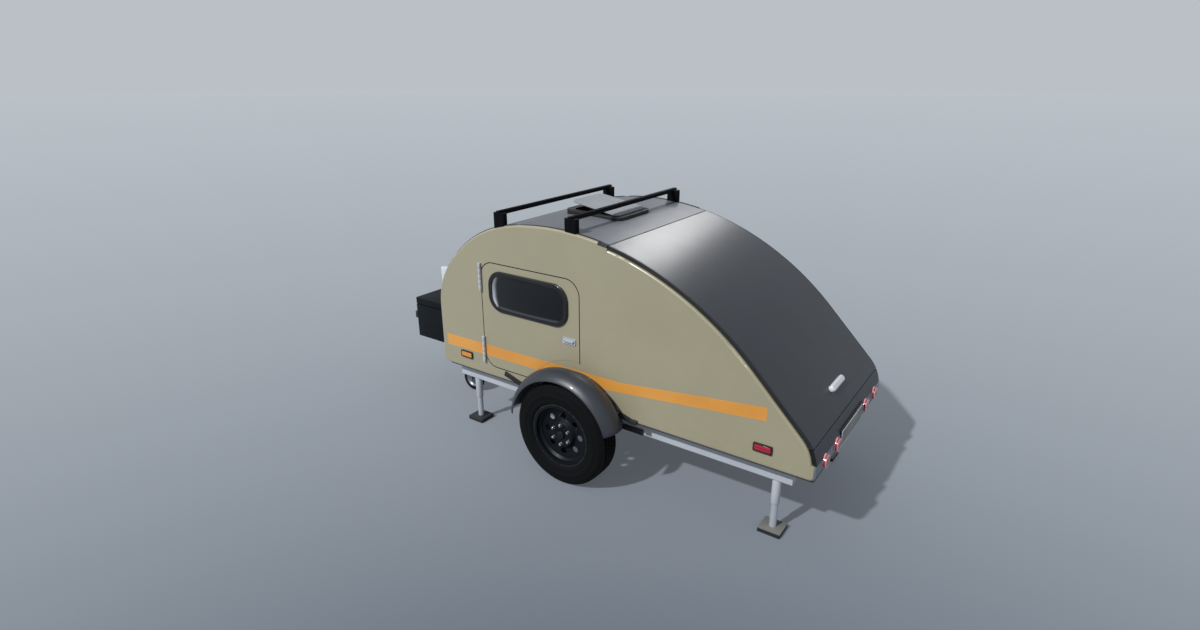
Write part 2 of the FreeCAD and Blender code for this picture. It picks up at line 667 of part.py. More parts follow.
def build_chassis():
    """Rails, crossmembers, drawbar, coupler and axle plates."""
    rail = sketched_bar("rail", "rail_width", "rail_height", "rail_front + rail_tail", 6,
                        "-rail_tail", "rail_offset", "rail_base")
    both("side_rails", rail)
    crosses = [box(f"cross_{name}", "cross_width", "2 * rail_offset - rail_width", "cross_height",
                   x, "rail_width / 2 - rail_offset", "floor_base - cross_height")
               for name, x in (("front", "rail_front - cross_width"), ("middle", "tongue_root"),
                               ("axle", "-tongue_root"), ("rear", "-rail_tail"))]
    group("crossmembers", *crosses)
    node(sketched_bar("drawbar", "tongue_width", "tongue_height",
                      "front_reach - coupler_length / 2 - tongue_root", 6,
                      "tongue_root", "0", "tongue_base"))
    base = "tongue_base + tongue_height"
    saddle = box("coupler_plate", "coupler_saddle", "saddle_width", "saddle_height",
                 "front_reach - coupler_length", "-saddle_width / 2", base)
    head = rod("coupler_head", "coupler_round", "coupler_height", "ball_reach", "0", base)
    neck = box("coupler_neck", "coupler_length - 2 * coupler_round", "ball_bore", "ball_bore",
               "ball_reach + coupler_round - coupler_length", "-ball_bore / 2", base)
    bore = rod("coupler_bore", "ball_bore / 2", "ball_depth", "ball_reach", "0", base)
    node(cut("coupler", fused("coupler_body", saddle, neck, head), bore))
    both("axle_plates", box("axle_plate", "plate_length", "plate_thick", "plate_height",
                            "-plate_length / 2", "rail_offset + rail_width / 2", "rail_base"))


def build_running_gear():
    """Axle tube, trailing arms with their stub axles, and the two wheels."""
    arm_inner = "half_body - arm_width"
    tube = box("axle_tube", "axle_size", "2 * (half_body - arm_width)", "axle_size",
               "axle_ahead - axle_size / 2", "arm_width - half_body", "rail_base - axle_size")
    shank = box("arm_shank", "axle_ahead + axle_size", "arm_width", "arm_height",
                "-axle_size / 2", arm_inner, "tyre_radius - arm_height / 2")
    spindle = rod("arm_spindle", "spindle_radius", "spindle_end - half_body", "0", "half_body",
                  "tyre_radius", "y")
    arm = fused("trailing_arm_left", shank, spindle)
    node(fused("axle", tube, arm, mirrored("trailing_arm_right", arm)))

    side = size.tyre_width / 2
    tread = size.tread_width / 2
    seat = size.rim_width / 2
    shoulder = size.tyre_radius - size.shoulder_drop
    tyre = [(size.rim_radius, -side), (size.rim_radius, side), (shoulder, side),
            (size.tyre_radius, tread), (size.tyre_radius, -tread), (shoulder, -side)]
    pair(shaped("tyre_left", wheel_ring(tyre)))
    thick = size.rim_thick
    well = size.well_width / 2
    flange = seat - thick
    ledge = flange - size.bead_width
    bead_inside = size.bead_radius - thick
    well_inside = size.bead_radius - size.well_depth - thick
    step = size.disc_face - size.half_track
    ring = step - size.disc_step
    foot = size.disc_radius + size.disc_step
    rim = [(size.rim_radius, -seat), (bead_inside, -seat), (bead_inside, -ledge),
           (well_inside, -well), (well_inside, ring - thick), (foot, ring - thick),
           (size.disc_radius, step), (size.disc_hole, step),
           (size.disc_hole, step + size.disc_thick), (size.disc_radius, step + size.disc_thick),
           (foot, ring), (well_inside, ring), (well_inside, well), (bead_inside, ledge),
           (bead_inside, seat), (size.rim_radius, seat), (size.rim_radius, flange),
           (size.bead_radius, flange), (size.bead_radius, ledge), (well_inside + thick, well),
           (well_inside + thick, -well), (size.bead_radius, -ledge), (size.bead_radius, -flange),
           (size.rim_radius, -flange)]
    vents = around(size.vent_count, size.vent_circle / 2, size.vent_hole, size.half_track,
                   size.tyre_width)
    pair(shaped("rim_left", wheel_ring(rim).cut(vents)))
    start = size.half_body + size.hub_gap
    hub = wheel_rod(size.hub_radius, start, size.disc_face)
    cap = wheel_rod(size.cap_radius, size.disc_face, size.disc_face + size.cap_depth)
    bore = wheel_rod(size.spindle_radius + size.play, start, size.spindle_end + size.gap)
    nuts = around(size.nut_count, size.bolt_circle / 2, size.nut_radius,
                  size.disc_face + size.disc_thick, size.nut_depth)
    pair(shaped("wheel_hub_left", Part.Compound([hub.fuse(cap).cut(bore)] + nuts)))


def wheel_rod(radius, start, end, spot=V(0, 0, 0)):
    """A round bar along the wheel's axis, or beside it."""
    return Part.makeCylinder(radius, end - start, spot + V(0, start, size.tyre_radius),
                             V(0, 1, 0))


def around(count, circle, radius, start, length):
    """Round bars spaced evenly on a circle about the wheel's axis."""
    return [wheel_rod(radius, start, start + length, facing(2 * math.pi * step / count) * circle)
            for step in range(int(count))]


def wheel_ring(points):
    """Turn an outline of (radius, across the tyre) all the way round the wheel's axis."""
    return revolved([(radius, offset + size.half_track) for radius, offset in points])


def revolved(points):
    """Turn a closed outline of (radius, across) about the wheel's axis."""
    spots = [V(radius, offset, size.tyre_radius) for radius, offset in points]
    face = Part.Face(Part.makePolygon(spots + spots[:1]))
    return face.revolve(V(0, 0, size.tyre_radius), V(0, 1, 0), 360)


def build_fenders():
    """Half-round fenders on the walls, with the stays that hold their feet."""
    wall, dome, middle = size.half_body, size.fender_dome, size.dome_middle
    crest = wall + size.fender_crest
    fold = dome - size.fender_thick
    lip = math.asin(size.fender_lip / dome)
    foot = middle + dome * math.cos(lip)
    under = foot - size.fender_thick

    def spot(radius, offset):
        return V(radius, offset, size.tyre_radius)

    def bow(radius, start, end):
        ends = [spot(middle + radius * math.cos(turn), crest + radius * math.sin(turn))
                for turn in (start, (start + end) / 2, end)]
        return Part.Arc(*ends).toShape()

    inner = -math.acos((under - middle) / fold)
    over, inside = bow(dome, -lip, lip), bow(fold, lip, inner)
    section = Part.Face(Part.Wire([
        Part.makeLine(spot(foot, wall), over.Vertexes[0].Point), over,
        Part.makeLine(over.Vertexes[1].Point, inside.Vertexes[0].Point), inside,
        Part.makeLine(inside.Vertexes[1].Point, spot(under, wall)),
        Part.makeLine(spot(under, wall), spot(foot, wall))]))
    hub = V(0, 0, size.tyre_radius)
    section.rotate(hub, V(0, 1, 0), -size.fender_front)
    spin = 180 - size.fender_front - size.fender_rear
    both("fenders", shaped("fender", section.revolve(hub, V(0, 1, 0), -spin)))
    arch = wheel_rod(foot + size.play, 0, 2 * crest)
    front = stay(size.stay_front, size.body_base + size.stay_front_rise, size.stay_length)
    rear = stay(-size.stay_rear, size.body_base + size.stay_rear_rise, -size.stay_length)
    tab = block(-size.stay_rear - size.tab_length, -size.stay_rear, wall, wall + size.tab_depth,
                size.body_base, size.body_base + size.tab_height)
    both("fender_stays", shaped("fender_stay", Part.Compound([front.cut(arch), rear.cut(arch),
                                                             tab])))


def stay(x, z, length):
    """A flat bar on the wall, back or forwards along its slope from the middle of one end."""
    bar = block(min(-length, 0), max(-length, 0), size.half_body,
                size.half_body + size.stay_thick, -size.stay_width / 2, size.stay_width / 2)
    bar.rotate(V(), V(0, 1, 0), -size.stay_slope)
    bar.translate(V(x, 0, z))
    return bar


def build_legs():
    """Four stabiliser legs: outer tubes, inner tubes and foot pads."""
    corners = [(x, y) for x in ("leg_front", "-leg_rear") for y in ("leg_offset", "-leg_offset")]
    sleeves, posts, pads = [], [], []
    for number, (x, y) in enumerate(corners):
        sleeves.append(rod(f"sleeve_{number}", "sleeve_radius", "sleeve_length", x, y,
                           "rail_base - sleeve_length"))
        posts.append(rod(f"post_{number}", "post_radius", "rail_base - sleeve_length - pad_height",
                         x, y, "pad_height"))
        pads.append(box(f"pad_{number}", "pad_length", "pad_width", "pad_height",
                        f"{x} - pad_length / 2", f"{y} - pad_width / 2", "0"))
    group("leg_sleeves", *sleeves)
    group("leg_feet", *[fused(f"foot_{number}", post, pad)
                        for number, (post, pad) in enumerate(zip(posts, pads))])


def build_jockey():
    """Jockey wheel: clamp and stem on the drawbar, turning fork and wheel."""
    stem_x = "jockey_reach + jockey_trail"
    stem = rod("jockey_stem", "stem_radius", "stem_top - stem_foot", stem_x, "jockey_offset",
               "stem_foot")
    arm = box("jockey_arm", "3 * stem_radius", "jockey_offset - tongue_width / 2", "tongue_height",
              f"{stem_x} - 1.5 * stem_radius", "tongue_width / 2", "tongue_base")
    handle = box("crank_arm", "5 * stem_radius", "stem_radius", "stem_radius / 2",
                 f"{stem_x} - 4 * stem_radius", "jockey_offset - stem_radius / 2", "stem_top")
    grip = rod("crank_grip", "stem_radius / 2", "4 * stem_radius",
               f"{stem_x} - 3.4 * stem_radius", "jockey_offset", "stem_top")
    node(fused("jockey_clamp", stem, arm, handle, grip))
    crown_z = "2 * jockey_radius + fork_thick"
    crown = box("fork_crown", "jockey_trail + 2 * stem_radius", "jockey_width + 4 * fork_thick",
                "stem_foot - play - 2 * jockey_radius - fork_thick", "jockey_reach - stem_radius",
                "jockey_offset - jockey_width / 2 - 2 * fork_thick", crown_z)
    cheeks = [box(f"fork_cheek_{name}", "3 * fork_thick", "fork_thick",
                  "jockey_radius + 3 * fork_thick", "jockey_reach - 1.5 * fork_thick", y,
                  "jockey_radius - fork_thick")
              for name, y in (("left", "jockey_offset + jockey_width / 2 + fork_thick"),
                              ("right", "jockey_offset - jockey_width / 2 - 2 * fork_thick"))]
    pin = rod("fork_pin", "fork_thick", "jockey_width + 4 * fork_thick", "jockey_reach",
              "jockey_offset - jockey_width / 2 - 2 * fork_thick", "jockey_radius", "y")
    node(fused("jockey_fork", crown, cheeks[0], cheeks[1], pin))
    half = size.jockey_width / 2
    hub = V(size.jockey_reach, size.jockey_offset, size.jockey_radius)
    tread = Part.makeCylinder(size.jockey_radius, 2 * half, hub - V(0, half, 0), V(0, 1, 0))
    tread = tread.makeChamfer(size.jockey_bevel, [edge for edge in tread.Edges if edge.Closed])
    bore = Part.makeCylinder(size.fork_thick + size.play, 4 * half, hub - V(0, 2 * half, 0),
                             V(0, 1, 0))
    node(shaped("jockey_wheel", tread.cut(bore)))


def build_toolbox():
    """Toolbox on its bearers across the drawbar, with its lid."""
    rear = "box_front - box_length"
    bearers = [box(f"bearer_{name}", "tongue_width / 2", "box_width * 0.9",
                   "box_base - tongue_base - tongue_height", x, "-box_width * 0.45",
                   "tongue_base + tongue_height")
               for name, x in (("front", "box_front - tongue_width"),
                               ("rear", f"{rear} + tongue_width / 2"))]
    outer = box("toolbox_outer", "box_length", "box_width", "box_height - lid_height", rear,
                "-box_width / 2", "box_base")
    inner = box("toolbox_inner", "box_length - 2 * box_sheet", "box_width - 2 * box_sheet",
                "box_height", f"{rear} + box_sheet", "box_sheet - box_width / 2",
                "box_base + box_sheet")
    tray = cut("toolbox_tray", outer, inner)
    hinge_x = f"{rear} - play - box_hinge"
    hinge_z = "box_base + box_height - box_hinge"
    hinges = []
    for number, y in enumerate(("-box_hinge_offset", "box_hinge_offset - box_hinge_length")):
        hinges.append(rod(f"box_hinge_{number}", "box_hinge", "box_hinge_length", hinge_x, y,
                          hinge_z, "y"))
        hinges.append(box(f"box_hinge_strap_{number}", "box_hinge", "box_hinge_length",
                          "1.5 * lid_height", f"{rear} - box_hinge - play", y,
                          f"{hinge_z} - 1.5 * lid_height"))
        hinges.append(box(f"box_hinge_pad_{number}", "box_hinge + play", "box_hinge_length",
                          "lid_height / 2", f"{rear} - box_hinge - play", y,
                          f"{hinge_z} - 1.5 * lid_height"))
    node(fused("toolbox", tray, *bearers, *hinges))
    lid_top = box("lid_outer", "box_length", "box_width", "lid_height - gap", rear,
                  "-box_width / 2", "box_base + box_height - lid_height + gap")
    lid_hollow = box("lid_inner", "box_length - 2 * box_sheet", "box_width - 2 * box_sheet",
                     "lid_height - gap - box_sheet", f"{rear} + box_sheet",
                     "box_sheet - box_width / 2", "box_base + box_height - lid_height + gap")
    node(cut("toolbox_lid", lid_top, lid_hollow))


def build_roof():
    """Crossbars on their feet, and the roof vent with its lid."""
    shell_block = across(profile(), -FAR, FAR)
    peak = shell_block.BoundBox.ZMax
    half = size.bar_length / 2
    for name, x, rise in (("front", size.bar_front, size.bar_front_rise),
                          ("rear", size.bar_rear, size.bar_rear_rise)):
        top = peak + rise
        bar = block(x - size.bar_size / 2, x + size.bar_size / 2, -half, half,
                    top - size.bar_size, top)
        feet = [upright_plate(x - size.foot_length / 2, x + size.foot_length / 2, y0,
                              y0 + size.foot_width, size.foot_round, top - size.foot_drop,
                              top - size.bar_size / 2)
                for y0 in (size.foot_inset - half, half - size.foot_width - size.foot_inset)]
        feet = [foot.cut(shell_block) for foot in feet]
        node(shaped(f"crossbar_{name}", bar.fuse(feet).removeSplitter()))
    x0 = size.vent_reach - size.vent_length / 2
    x1 = size.vent_reach + size.vent_length / 2
    y1 = size.vent_width / 2
    top = peak + size.vent_rise
    rim, inset, seat = size.vent_rim, size.lid_inset, top + size.lid_seal
    ring = upright_plate(x0, x1, -y1, y1, size.vent_round, peak - 2 * size.vent_rise, top)
    hole = upright_plate(x0 + rim, x1 - rim, -y1 + rim, y1 - rim, size.vent_round - rim / 2,
                         peak - 3 * size.vent_rise, top + 1)
    ring = ring.cut(hole)
    lid = upright_plate(x0 + inset, x1 - inset, -y1 + inset, y1 - inset,
                        size.vent_round - inset / 2, seat, seat + size.lid_thick)
    lid.rotate(V(x0 + inset, 0, seat), V(0, 1, 0), -size.lid_tilt)
    for piece in (ring, lid):
        piece.rotate(V(size.vent_reach, 0, top), V(0, 1, 0), -size.vent_tilt)
    node(shaped("vent_frame", ring.cut(shell_block)))
    node(shaped("vent_lid", lid))


def upright_plate(x0, x1, y0, y1, radius, z0, z1):
    """A flat plate with rounded corners seen from above."""
    plate = block(x0, x1, y0, y1, z0, z1)
    return plate.makeFillet(radius, [e for e in plate.Edges if abs(e.tangentAt(0).z) > 0.99])


def build_lamps():
    """Tail lamps, side markers, front lamps and the blank number plate with its holder."""
    shell_block = across(profile(), -FAR, FAR)
    lamps = []
    for y in (size.lamp_outer, size.lamp_inner, -size.lamp_inner, -size.lamp_outer):
        face = V(-size.tail_reach - size.lamp_depth, y, size.lamp_height)
        lamp = Part.makeCylinder(size.lamp_radius, size.lamp_depth + size.tail_thick, face,
                                 V(1, 0, 0))
        lamps += lamp.cut(shell_block).Solids
    node(shaped("tail_lamps", Part.Compound(lamps)))
    for name, x in (("amber", "marker_front"), ("red", "-marker_rear")):
        sides = [box(f"marker_{name}_{side}", "marker_length", "marker_depth", "marker_height",
                     x, y, "marker_base")
                 for side, y in (("left", "half_body"), ("right", "-half_body - marker_depth"))]
        group(f"side_markers_{name}", *sides)
    rim = size.sign_frame
    holder = block(-size.tail_reach - size.sign_thick, -size.tail_reach + size.tail_thick,
                   -size.sign_width / 2 - rim, size.sign_width / 2 + rim, size.sign_base - rim,
                   size.sign_base + size.sign_height + rim)
    node(shaped("plate_holder", holder.cut(shell_block)))
    node(box("number_plate", "sign_thick", "sign_width", "sign_height",
             "-tail_reach - 2 * sign_thick", "-sign_width / 2", "sign_base"))
    lamps = []
    for side in (-1, 1):
        y = side * size.nose_lamp_offset
        half = size.nose_lamp_width / 2
        face = size.nose_reach + size.nose_lamp_proud
        lamp = block(face - size.nose_lamp_depth, face, y - half, y + half,
                     size.nose_lamp_height - size.nose_lamp_length / 2,
                     size.nose_lamp_height + size.nose_lamp_length / 2)
        lamps += lamp.cut(shell_block).Solids
    node(shaped("front_lamps", Part.Compound(lamps)))


def write_parts():
    """Check every object, then write each sub-part to a file of its own."""
    doc.recompute()
    for thing in doc.Objects:
        if {"Invalid", "Error"} & set(thing.State):
            raise RuntimeError(f"{thing.Label} failed: {thing.State}")
    os.makedirs("parts", exist_ok=True)
    for thing in nodes:
        shape = thing.Shape
        if shape.isNull() or not shape.isValid() or not shape.Solids:
            raise RuntimeError(f"{thing.Label} has no sound solid")
        shape.exportStep(f"parts/{thing.Label}.step")
    print(len(nodes), "sub-parts written")


fill_sheet()
build_shell()
build_hatch()
build_doors()
build_chassis()
build_running_gear()
build_fenders()
build_legs()
build_jockey()
build_toolbox()
build_roof()
build_lamps()
write_parts()
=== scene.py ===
"""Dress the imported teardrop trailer: paint, seals, hinges, lamps, tyres, fittings and studio.

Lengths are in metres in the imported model's own frame: X points to the coupler, Y to the left side
and Z up. Each sub-assembly is a class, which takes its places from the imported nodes, models what
the plain solids leave out, and dresses both with its finishes.
"""

import json
import logging
import math
from contextlib import contextmanager
from dataclasses import dataclass, field
from enum import Enum
from typing import Callable, ClassVar, Iterator, Sequence

import bmesh
import bpy
from mathutils import Matrix, Vector


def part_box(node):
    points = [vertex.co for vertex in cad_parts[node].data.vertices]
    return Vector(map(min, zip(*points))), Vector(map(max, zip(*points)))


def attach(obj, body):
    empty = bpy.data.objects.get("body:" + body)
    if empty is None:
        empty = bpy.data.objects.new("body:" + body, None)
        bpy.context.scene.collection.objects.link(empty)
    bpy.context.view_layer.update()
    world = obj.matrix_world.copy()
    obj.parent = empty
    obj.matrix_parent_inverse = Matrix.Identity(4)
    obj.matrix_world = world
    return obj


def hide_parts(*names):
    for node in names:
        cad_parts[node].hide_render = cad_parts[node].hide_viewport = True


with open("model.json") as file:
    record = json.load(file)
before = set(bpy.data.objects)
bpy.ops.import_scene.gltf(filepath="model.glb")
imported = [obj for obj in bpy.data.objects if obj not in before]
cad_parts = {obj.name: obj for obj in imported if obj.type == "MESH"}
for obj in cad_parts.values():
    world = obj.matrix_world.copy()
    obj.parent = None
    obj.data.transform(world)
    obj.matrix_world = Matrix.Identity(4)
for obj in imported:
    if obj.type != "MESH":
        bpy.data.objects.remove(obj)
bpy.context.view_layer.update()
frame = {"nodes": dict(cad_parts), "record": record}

log = logging.getLogger("teardrop")
Piece = bpy.types.Object
Colour = tuple[float, float, float]
Spot = tuple[float, float, float]
Box = tuple[Spot, Spot]
LINE = 0.0006  # half the width of a painted edge
DOOR_CORNER = 0.110
MERGE = 0.00002  # corners nearer than this are one


class Side(Enum):
    """A side of the trailer, by the sign of its Y."""

    LEFT = 1
    RIGHT = -1

    @property
    def word(self) -> str:
        """The side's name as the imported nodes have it."""
        return self.name.lower()


def tone(red: float, green: float, blue: float) -> Colour:
    """Turn a display colour of 0 to 255 into linear light.

    Args:
        red: red part.
        green: green part.
        blue: blue part.

    Returns:
        The linear colour.
    """
    shares = [part / 255 for part in (red, green, blue)]
    return tuple(share / 12.92 if share <= 0.04045 else ((share + 0.055) / 1.055) ** 2.4
                 for share in shares)


# ---------------------------------------------------------------- shader boards

def maths(operation: str, swapped: bool = False) -> Callable[["Wire", "Value"], "Wire"]:
    """Make the method of an operator from a Math node.

    Args:
        operation: the node's operation.
        swapped: whether the other value comes first, as in a reflected form.

    Returns:
        The method.
    """
    def method(wire: "Wire", other: "Value") -> "Wire":
        """Work the operation on this wire and the other value."""
        return wire.calc(operation, *((other, wire) if swapped else (wire, other)))

    return method


class Wire:
    """The value of a socket in an expression: each operator adds the node that works it out."""

    def __init__(self, board: "Board", socket: bpy.types.NodeSocket) -> None:
        """Keep the socket and the board that it is on."""
        self.board = board
        self.socket = socket

    def calc(self, operation: str, *values: "Value") -> "Wire":
        """Add a Math node.

        Args:
            operation: the Math node's operation.
            values: what its sockets take, in their order.

        Returns:
            The node's value.
        """
        return self.board.add("ShaderNodeMath", {"operation": operation}, dict(enumerate(values)))

    __add__, __radd__ = maths("ADD"), maths("ADD", True)
    __sub__, __rsub__ = maths("SUBTRACT"), maths("SUBTRACT", True)
    __mul__, __rmul__ = maths("MULTIPLY"), maths("MULTIPLY", True)
    most = maths("MAXIMUM")

    def __abs__(self) -> "Wire":
        """Self without its sign."""
        return self.calc("ABSOLUTE", self)

    def root(self) -> "Wire":
        """The square root."""
        return self.calc("SQRT", self)

    def sine(self) -> "Wire":
        """The sine, with this in radians."""
        return self.calc("SINE", self)

    def rise(self, low: float, high: float) -> "Wire":
        """Go smoothly from 0 at low to 1 at high.

        Args:
            low: where the rise begins.
            high: where it ends.

        Returns:
            The mask.
        """
        return self.board.add("ShaderNodeMapRange", {"interpolation_type": "SMOOTHSTEP"},
                              {"Value": self, "From Min": low, "From Max": high})

    def above(self, level: "Value") -> "Wire":
        """A mask of where this is above a level, with a thin soft edge."""
        return (self - level).rise(-LINE, LINE)

    def within(self, low: "Value", high: "Value") -> "Wire":
        """A mask of where this is above low and not above high."""
        return self.above(low) * (1 - self.above(high))


Value = Wire | float
Paint = Wire | Colour


class Board:
    """The node board of one material, or of the sky."""

    def __init__(self, owner: bpy.types.Material | bpy.types.World) -> None:
        """Clear the nodes of a material or a world.

        Args:
            owner: the material or the world.
        """
        owner.use_nodes = True
        self.owner = owner
        self.tree = owner.node_tree
        self.tree.nodes.clear()

    def add(self, kind: str, settings: dict | None = None, inputs: dict | None = None,
            output: int | str = 0) -> Wire:
        """Add any node.

        Args:
            kind: the node's type.
            settings: its properties, which are set first.
            inputs: values or wires, by the socket's name or number.
            output: the socket that the wire starts at.

        Returns:
            The wire from that output.
        """
        node = self.tree.nodes.new(kind)
        for name, value in (settings or {}).items():
            setattr(node, name, value)
        for key, value in (inputs or {}).items():
            socket = node.inputs[key]
            if isinstance(value, Wire):
                self.tree.links.new(value.socket, socket)
            elif isinstance(value, tuple) and len(socket.default_value) == 4:
                socket.default_value = (*value, 1.0)
            else:
                socket.default_value = value
        return Wire(self, node.outputs[output] if len(node.outputs) else None)

    def place(self) -> Wire:
        """The point on the piece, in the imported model's frame."""
        return self.add("ShaderNodeTexCoord", output="Object")

    def xyz(self) -> tuple[Wire, Wire, Wire]:
        """The three coordinates of the point."""
        first = self.add("ShaderNodeSeparateXYZ", inputs={0: self.place()})
        return tuple(Wire(self, socket) for socket in first.socket.node.outputs)

    def noise(self, scale: float, stretch: Colour = (1, 1, 1), detail: float = 3.0) -> Wire:
        """Cloudy noise about 0.5.

        Args:
            scale: lumps in a metre, roughly.
            stretch: factors on X, Y and Z: a small one draws the lumps out along it.
            detail: layers of finer noise.

        Returns:
            The noise.
        """
        where = self.add("ShaderNodeVectorMath", {"operation": "MULTIPLY"},
                         {0: self.place(), 1: stretch})
        return self.add("ShaderNodeTexNoise",
                        inputs={"Vector": where, "Scale": scale, "Detail": detail})

    def cells(self, scale: float) -> Wire:
        """A value of its own for each crystal of a broken-up surface.

        Args:
            scale: crystals to the metre, roughly.

        Returns:
            The value, from 0 to 1.
        """
        colour = self.add("ShaderNodeTexVoronoi", inputs={"Vector": self.place(), "Scale": scale},
                          output="Color")
        return self.add("ShaderNodeSeparateColor", inputs={0: colour})

    def blend(self, mask: Value, low: Paint, high: Paint) -> Wire:
        """Mix two colours: low where the mask is 0, high where it is 1."""
        return self.add("ShaderNodeMix", {"data_type": "RGBA"}, {0: mask, 6: low, 7: high}, 2)

    def radius(self, spot: Vector, axis: str) -> Wire:
        """How far the point is from a line through a spot along an axis.

        Args:
            spot: a point on the line.
            axis: the axis that it runs along: x, y or z.

        Returns:
            The distance.
        """
        apart = [part - place for part, place, name in zip(self.xyz(), spot, "xyz")
                 if name != axis]
        return (apart[0] * apart[0] + apart[1] * apart[1]).root()

    def close(self, sockets: dict, height: Wire | None = None,
              depth: float = 0.0) -> bpy.types.Material:
        """Finish the board with its shader.

        Args:
            sockets: values and wires of the shader's sockets.
            height: the relief, from 0 to 1, or none.
            depth: what a relief of 1 stands out, in metres.

        Returns:
            The material.
        """
        if height is not None:
            sockets["Normal"] = self.add("ShaderNodeBump", inputs={
                "Height": height, "Distance": depth, "Strength": 1.0})
        shader = self.add("ShaderNodeBsdfPrincipled", inputs=sockets)
        self.add("ShaderNodeOutputMaterial", inputs={"Surface": shader})
        return self.owner


# ---------------------------------------------------------------- finishes

class Texture(Enum):
    """How a coated surface is broken up close to."""

    PEEL = "peel"
    PEBBLE = "pebble"
    ALONG = "along"
    ACROSS = "across"
    SPANGLE = "spangle"


@dataclass(frozen=True)
class Finish:
    """A surface finish: one material, made when it is first asked for."""

    name: str
    made: ClassVar[dict[str, bpy.types.Material]] = {}

    def material(self) -> bpy.types.Material:
        """The finish's material.

        Returns:
            The material, made at the first call and kept.
        """
        if self.name not in Finish.made:
            Finish.made[self.name] = self.paint(Board(bpy.data.materials.new(self.name)))
        return Finish.made[self.name]

    def paint(self, board: Board) -> bpy.types.Material:
        """Lay the finish on a board."""
        raise NotImplementedError


@dataclass(frozen=True)
class Coat(Finish):
    """A plain coat, metal or moulding: two close colours, a texture and a gloss."""

    colour: Colour
    worn: Colour
    texture: Texture = Texture.PEEL
    scale: float = 300.0
    rough: float = 0.5
    spread: float = 0.12
    metal: float = 0.0
    clear: float = 0.0
    depth: float = 0.0002
    gleam: float = 0.5

    def relief(self, board: Board) -> Wire:
        """The fine texture, from 0 to 1.

        Args:
            board: the board to wire it on.

        Returns:
            The height, from 0 to 1.
        """
        if self.texture is Texture.SPANGLE:
            return board.cells(self.scale)
        if self.texture is Texture.PEBBLE:
            cell = board.add("ShaderNodeTexVoronoi", {"feature": "SMOOTH_F1"},
                             {"Vector": board.place(), "Scale": self.scale}, "Distance")
            return 1 - cell * 1.4
        stretch = {Texture.ALONG: (0.03, 1, 1), Texture.ACROSS: (1, 0.03, 1)}
        return board.noise(self.scale, stretch.get(self.texture, (1, 1, 1)), 4.0)

    def tint(self, board: Board, wear: Wire) -> Wire:
        """The coat's colour where it is more or less worn."""
        return board.blend(wear, self.colour, self.worn)

    def paint(self, board: Board) -> bpy.types.Material:
        """Lay the coat: cloudy wear over its colour and its texture in the gloss.

        Args:
            board: the board to wire it on.

        Returns:
            The finished material.
        """
        relief = self.relief(board)
        clouds = board.noise(5.0, detail=6.0)
        wear = (clouds * 0.7 + relief * 0.3).rise(0.3, 0.75)
        return board.close({"Base Color": self.tint(board, wear),
                            "Roughness": self.rough + (clouds * 0.5 + relief * 0.5 - 0.5)
                            * self.spread * 2,
                            "Metallic": self.metal, "Coat Weight": self.clear,
                            "Specular IOR Level": self.gleam,
                            "Coat Roughness": 0.08}, relief, self.depth)


@dataclass(frozen=True)
class EdgedCoat(Coat):
    """A coat with a dark border beyond a distance from the trailer's middle, and at its rear end,
    where the border is painted shade of a seam.
    """

    edge: float = 1.0
    border: Colour = (0.01, 0.01, 0.01)
    rear: float = -9.0

    def tint(self, board: Board, wear: Wire) -> Wire:
        """The coat's colour with its border; at the rear end the border is painted shade of a seam.

        Args:
            board: the board to wire it on.
            wear: how worn the coat is at each point.

        Returns:
            The colour.
        """
        x, y, _ = board.xyz()
        return board.blend(abs(y).above(self.edge).most(1 - x.above(self.rear)),
                           super().tint(board, wear), self.border)


@dataclass(frozen=True)
class PlateCoat(Coat):
    """The blank plate: a grey face in a white border, which is painted highlight."""

    face: Colour = (0.2, 0.2, 0.2)
    plate: Box = ((0.0, 0.0, 0.0), (0.0, 0.0, 0.0))
    rim: float = 0.007

    def tint(self, board: Board, wear: Wire) -> Wire:
        """White outside, a painted highlight, and grey within the border.

        Args:
            board: the board to wire it on.
            wear: how worn the coat is at each point.

        Returns:
            The colour.
        """
        _, y, z = board.xyz()
        low, high = self.plate
        inner = (1 - abs(y).above(high[1] - self.rim)) \
            * z.within(low[2] + self.rim, high[2] - self.rim)
        return board.blend(inner, super().tint(board, wear), self.face)


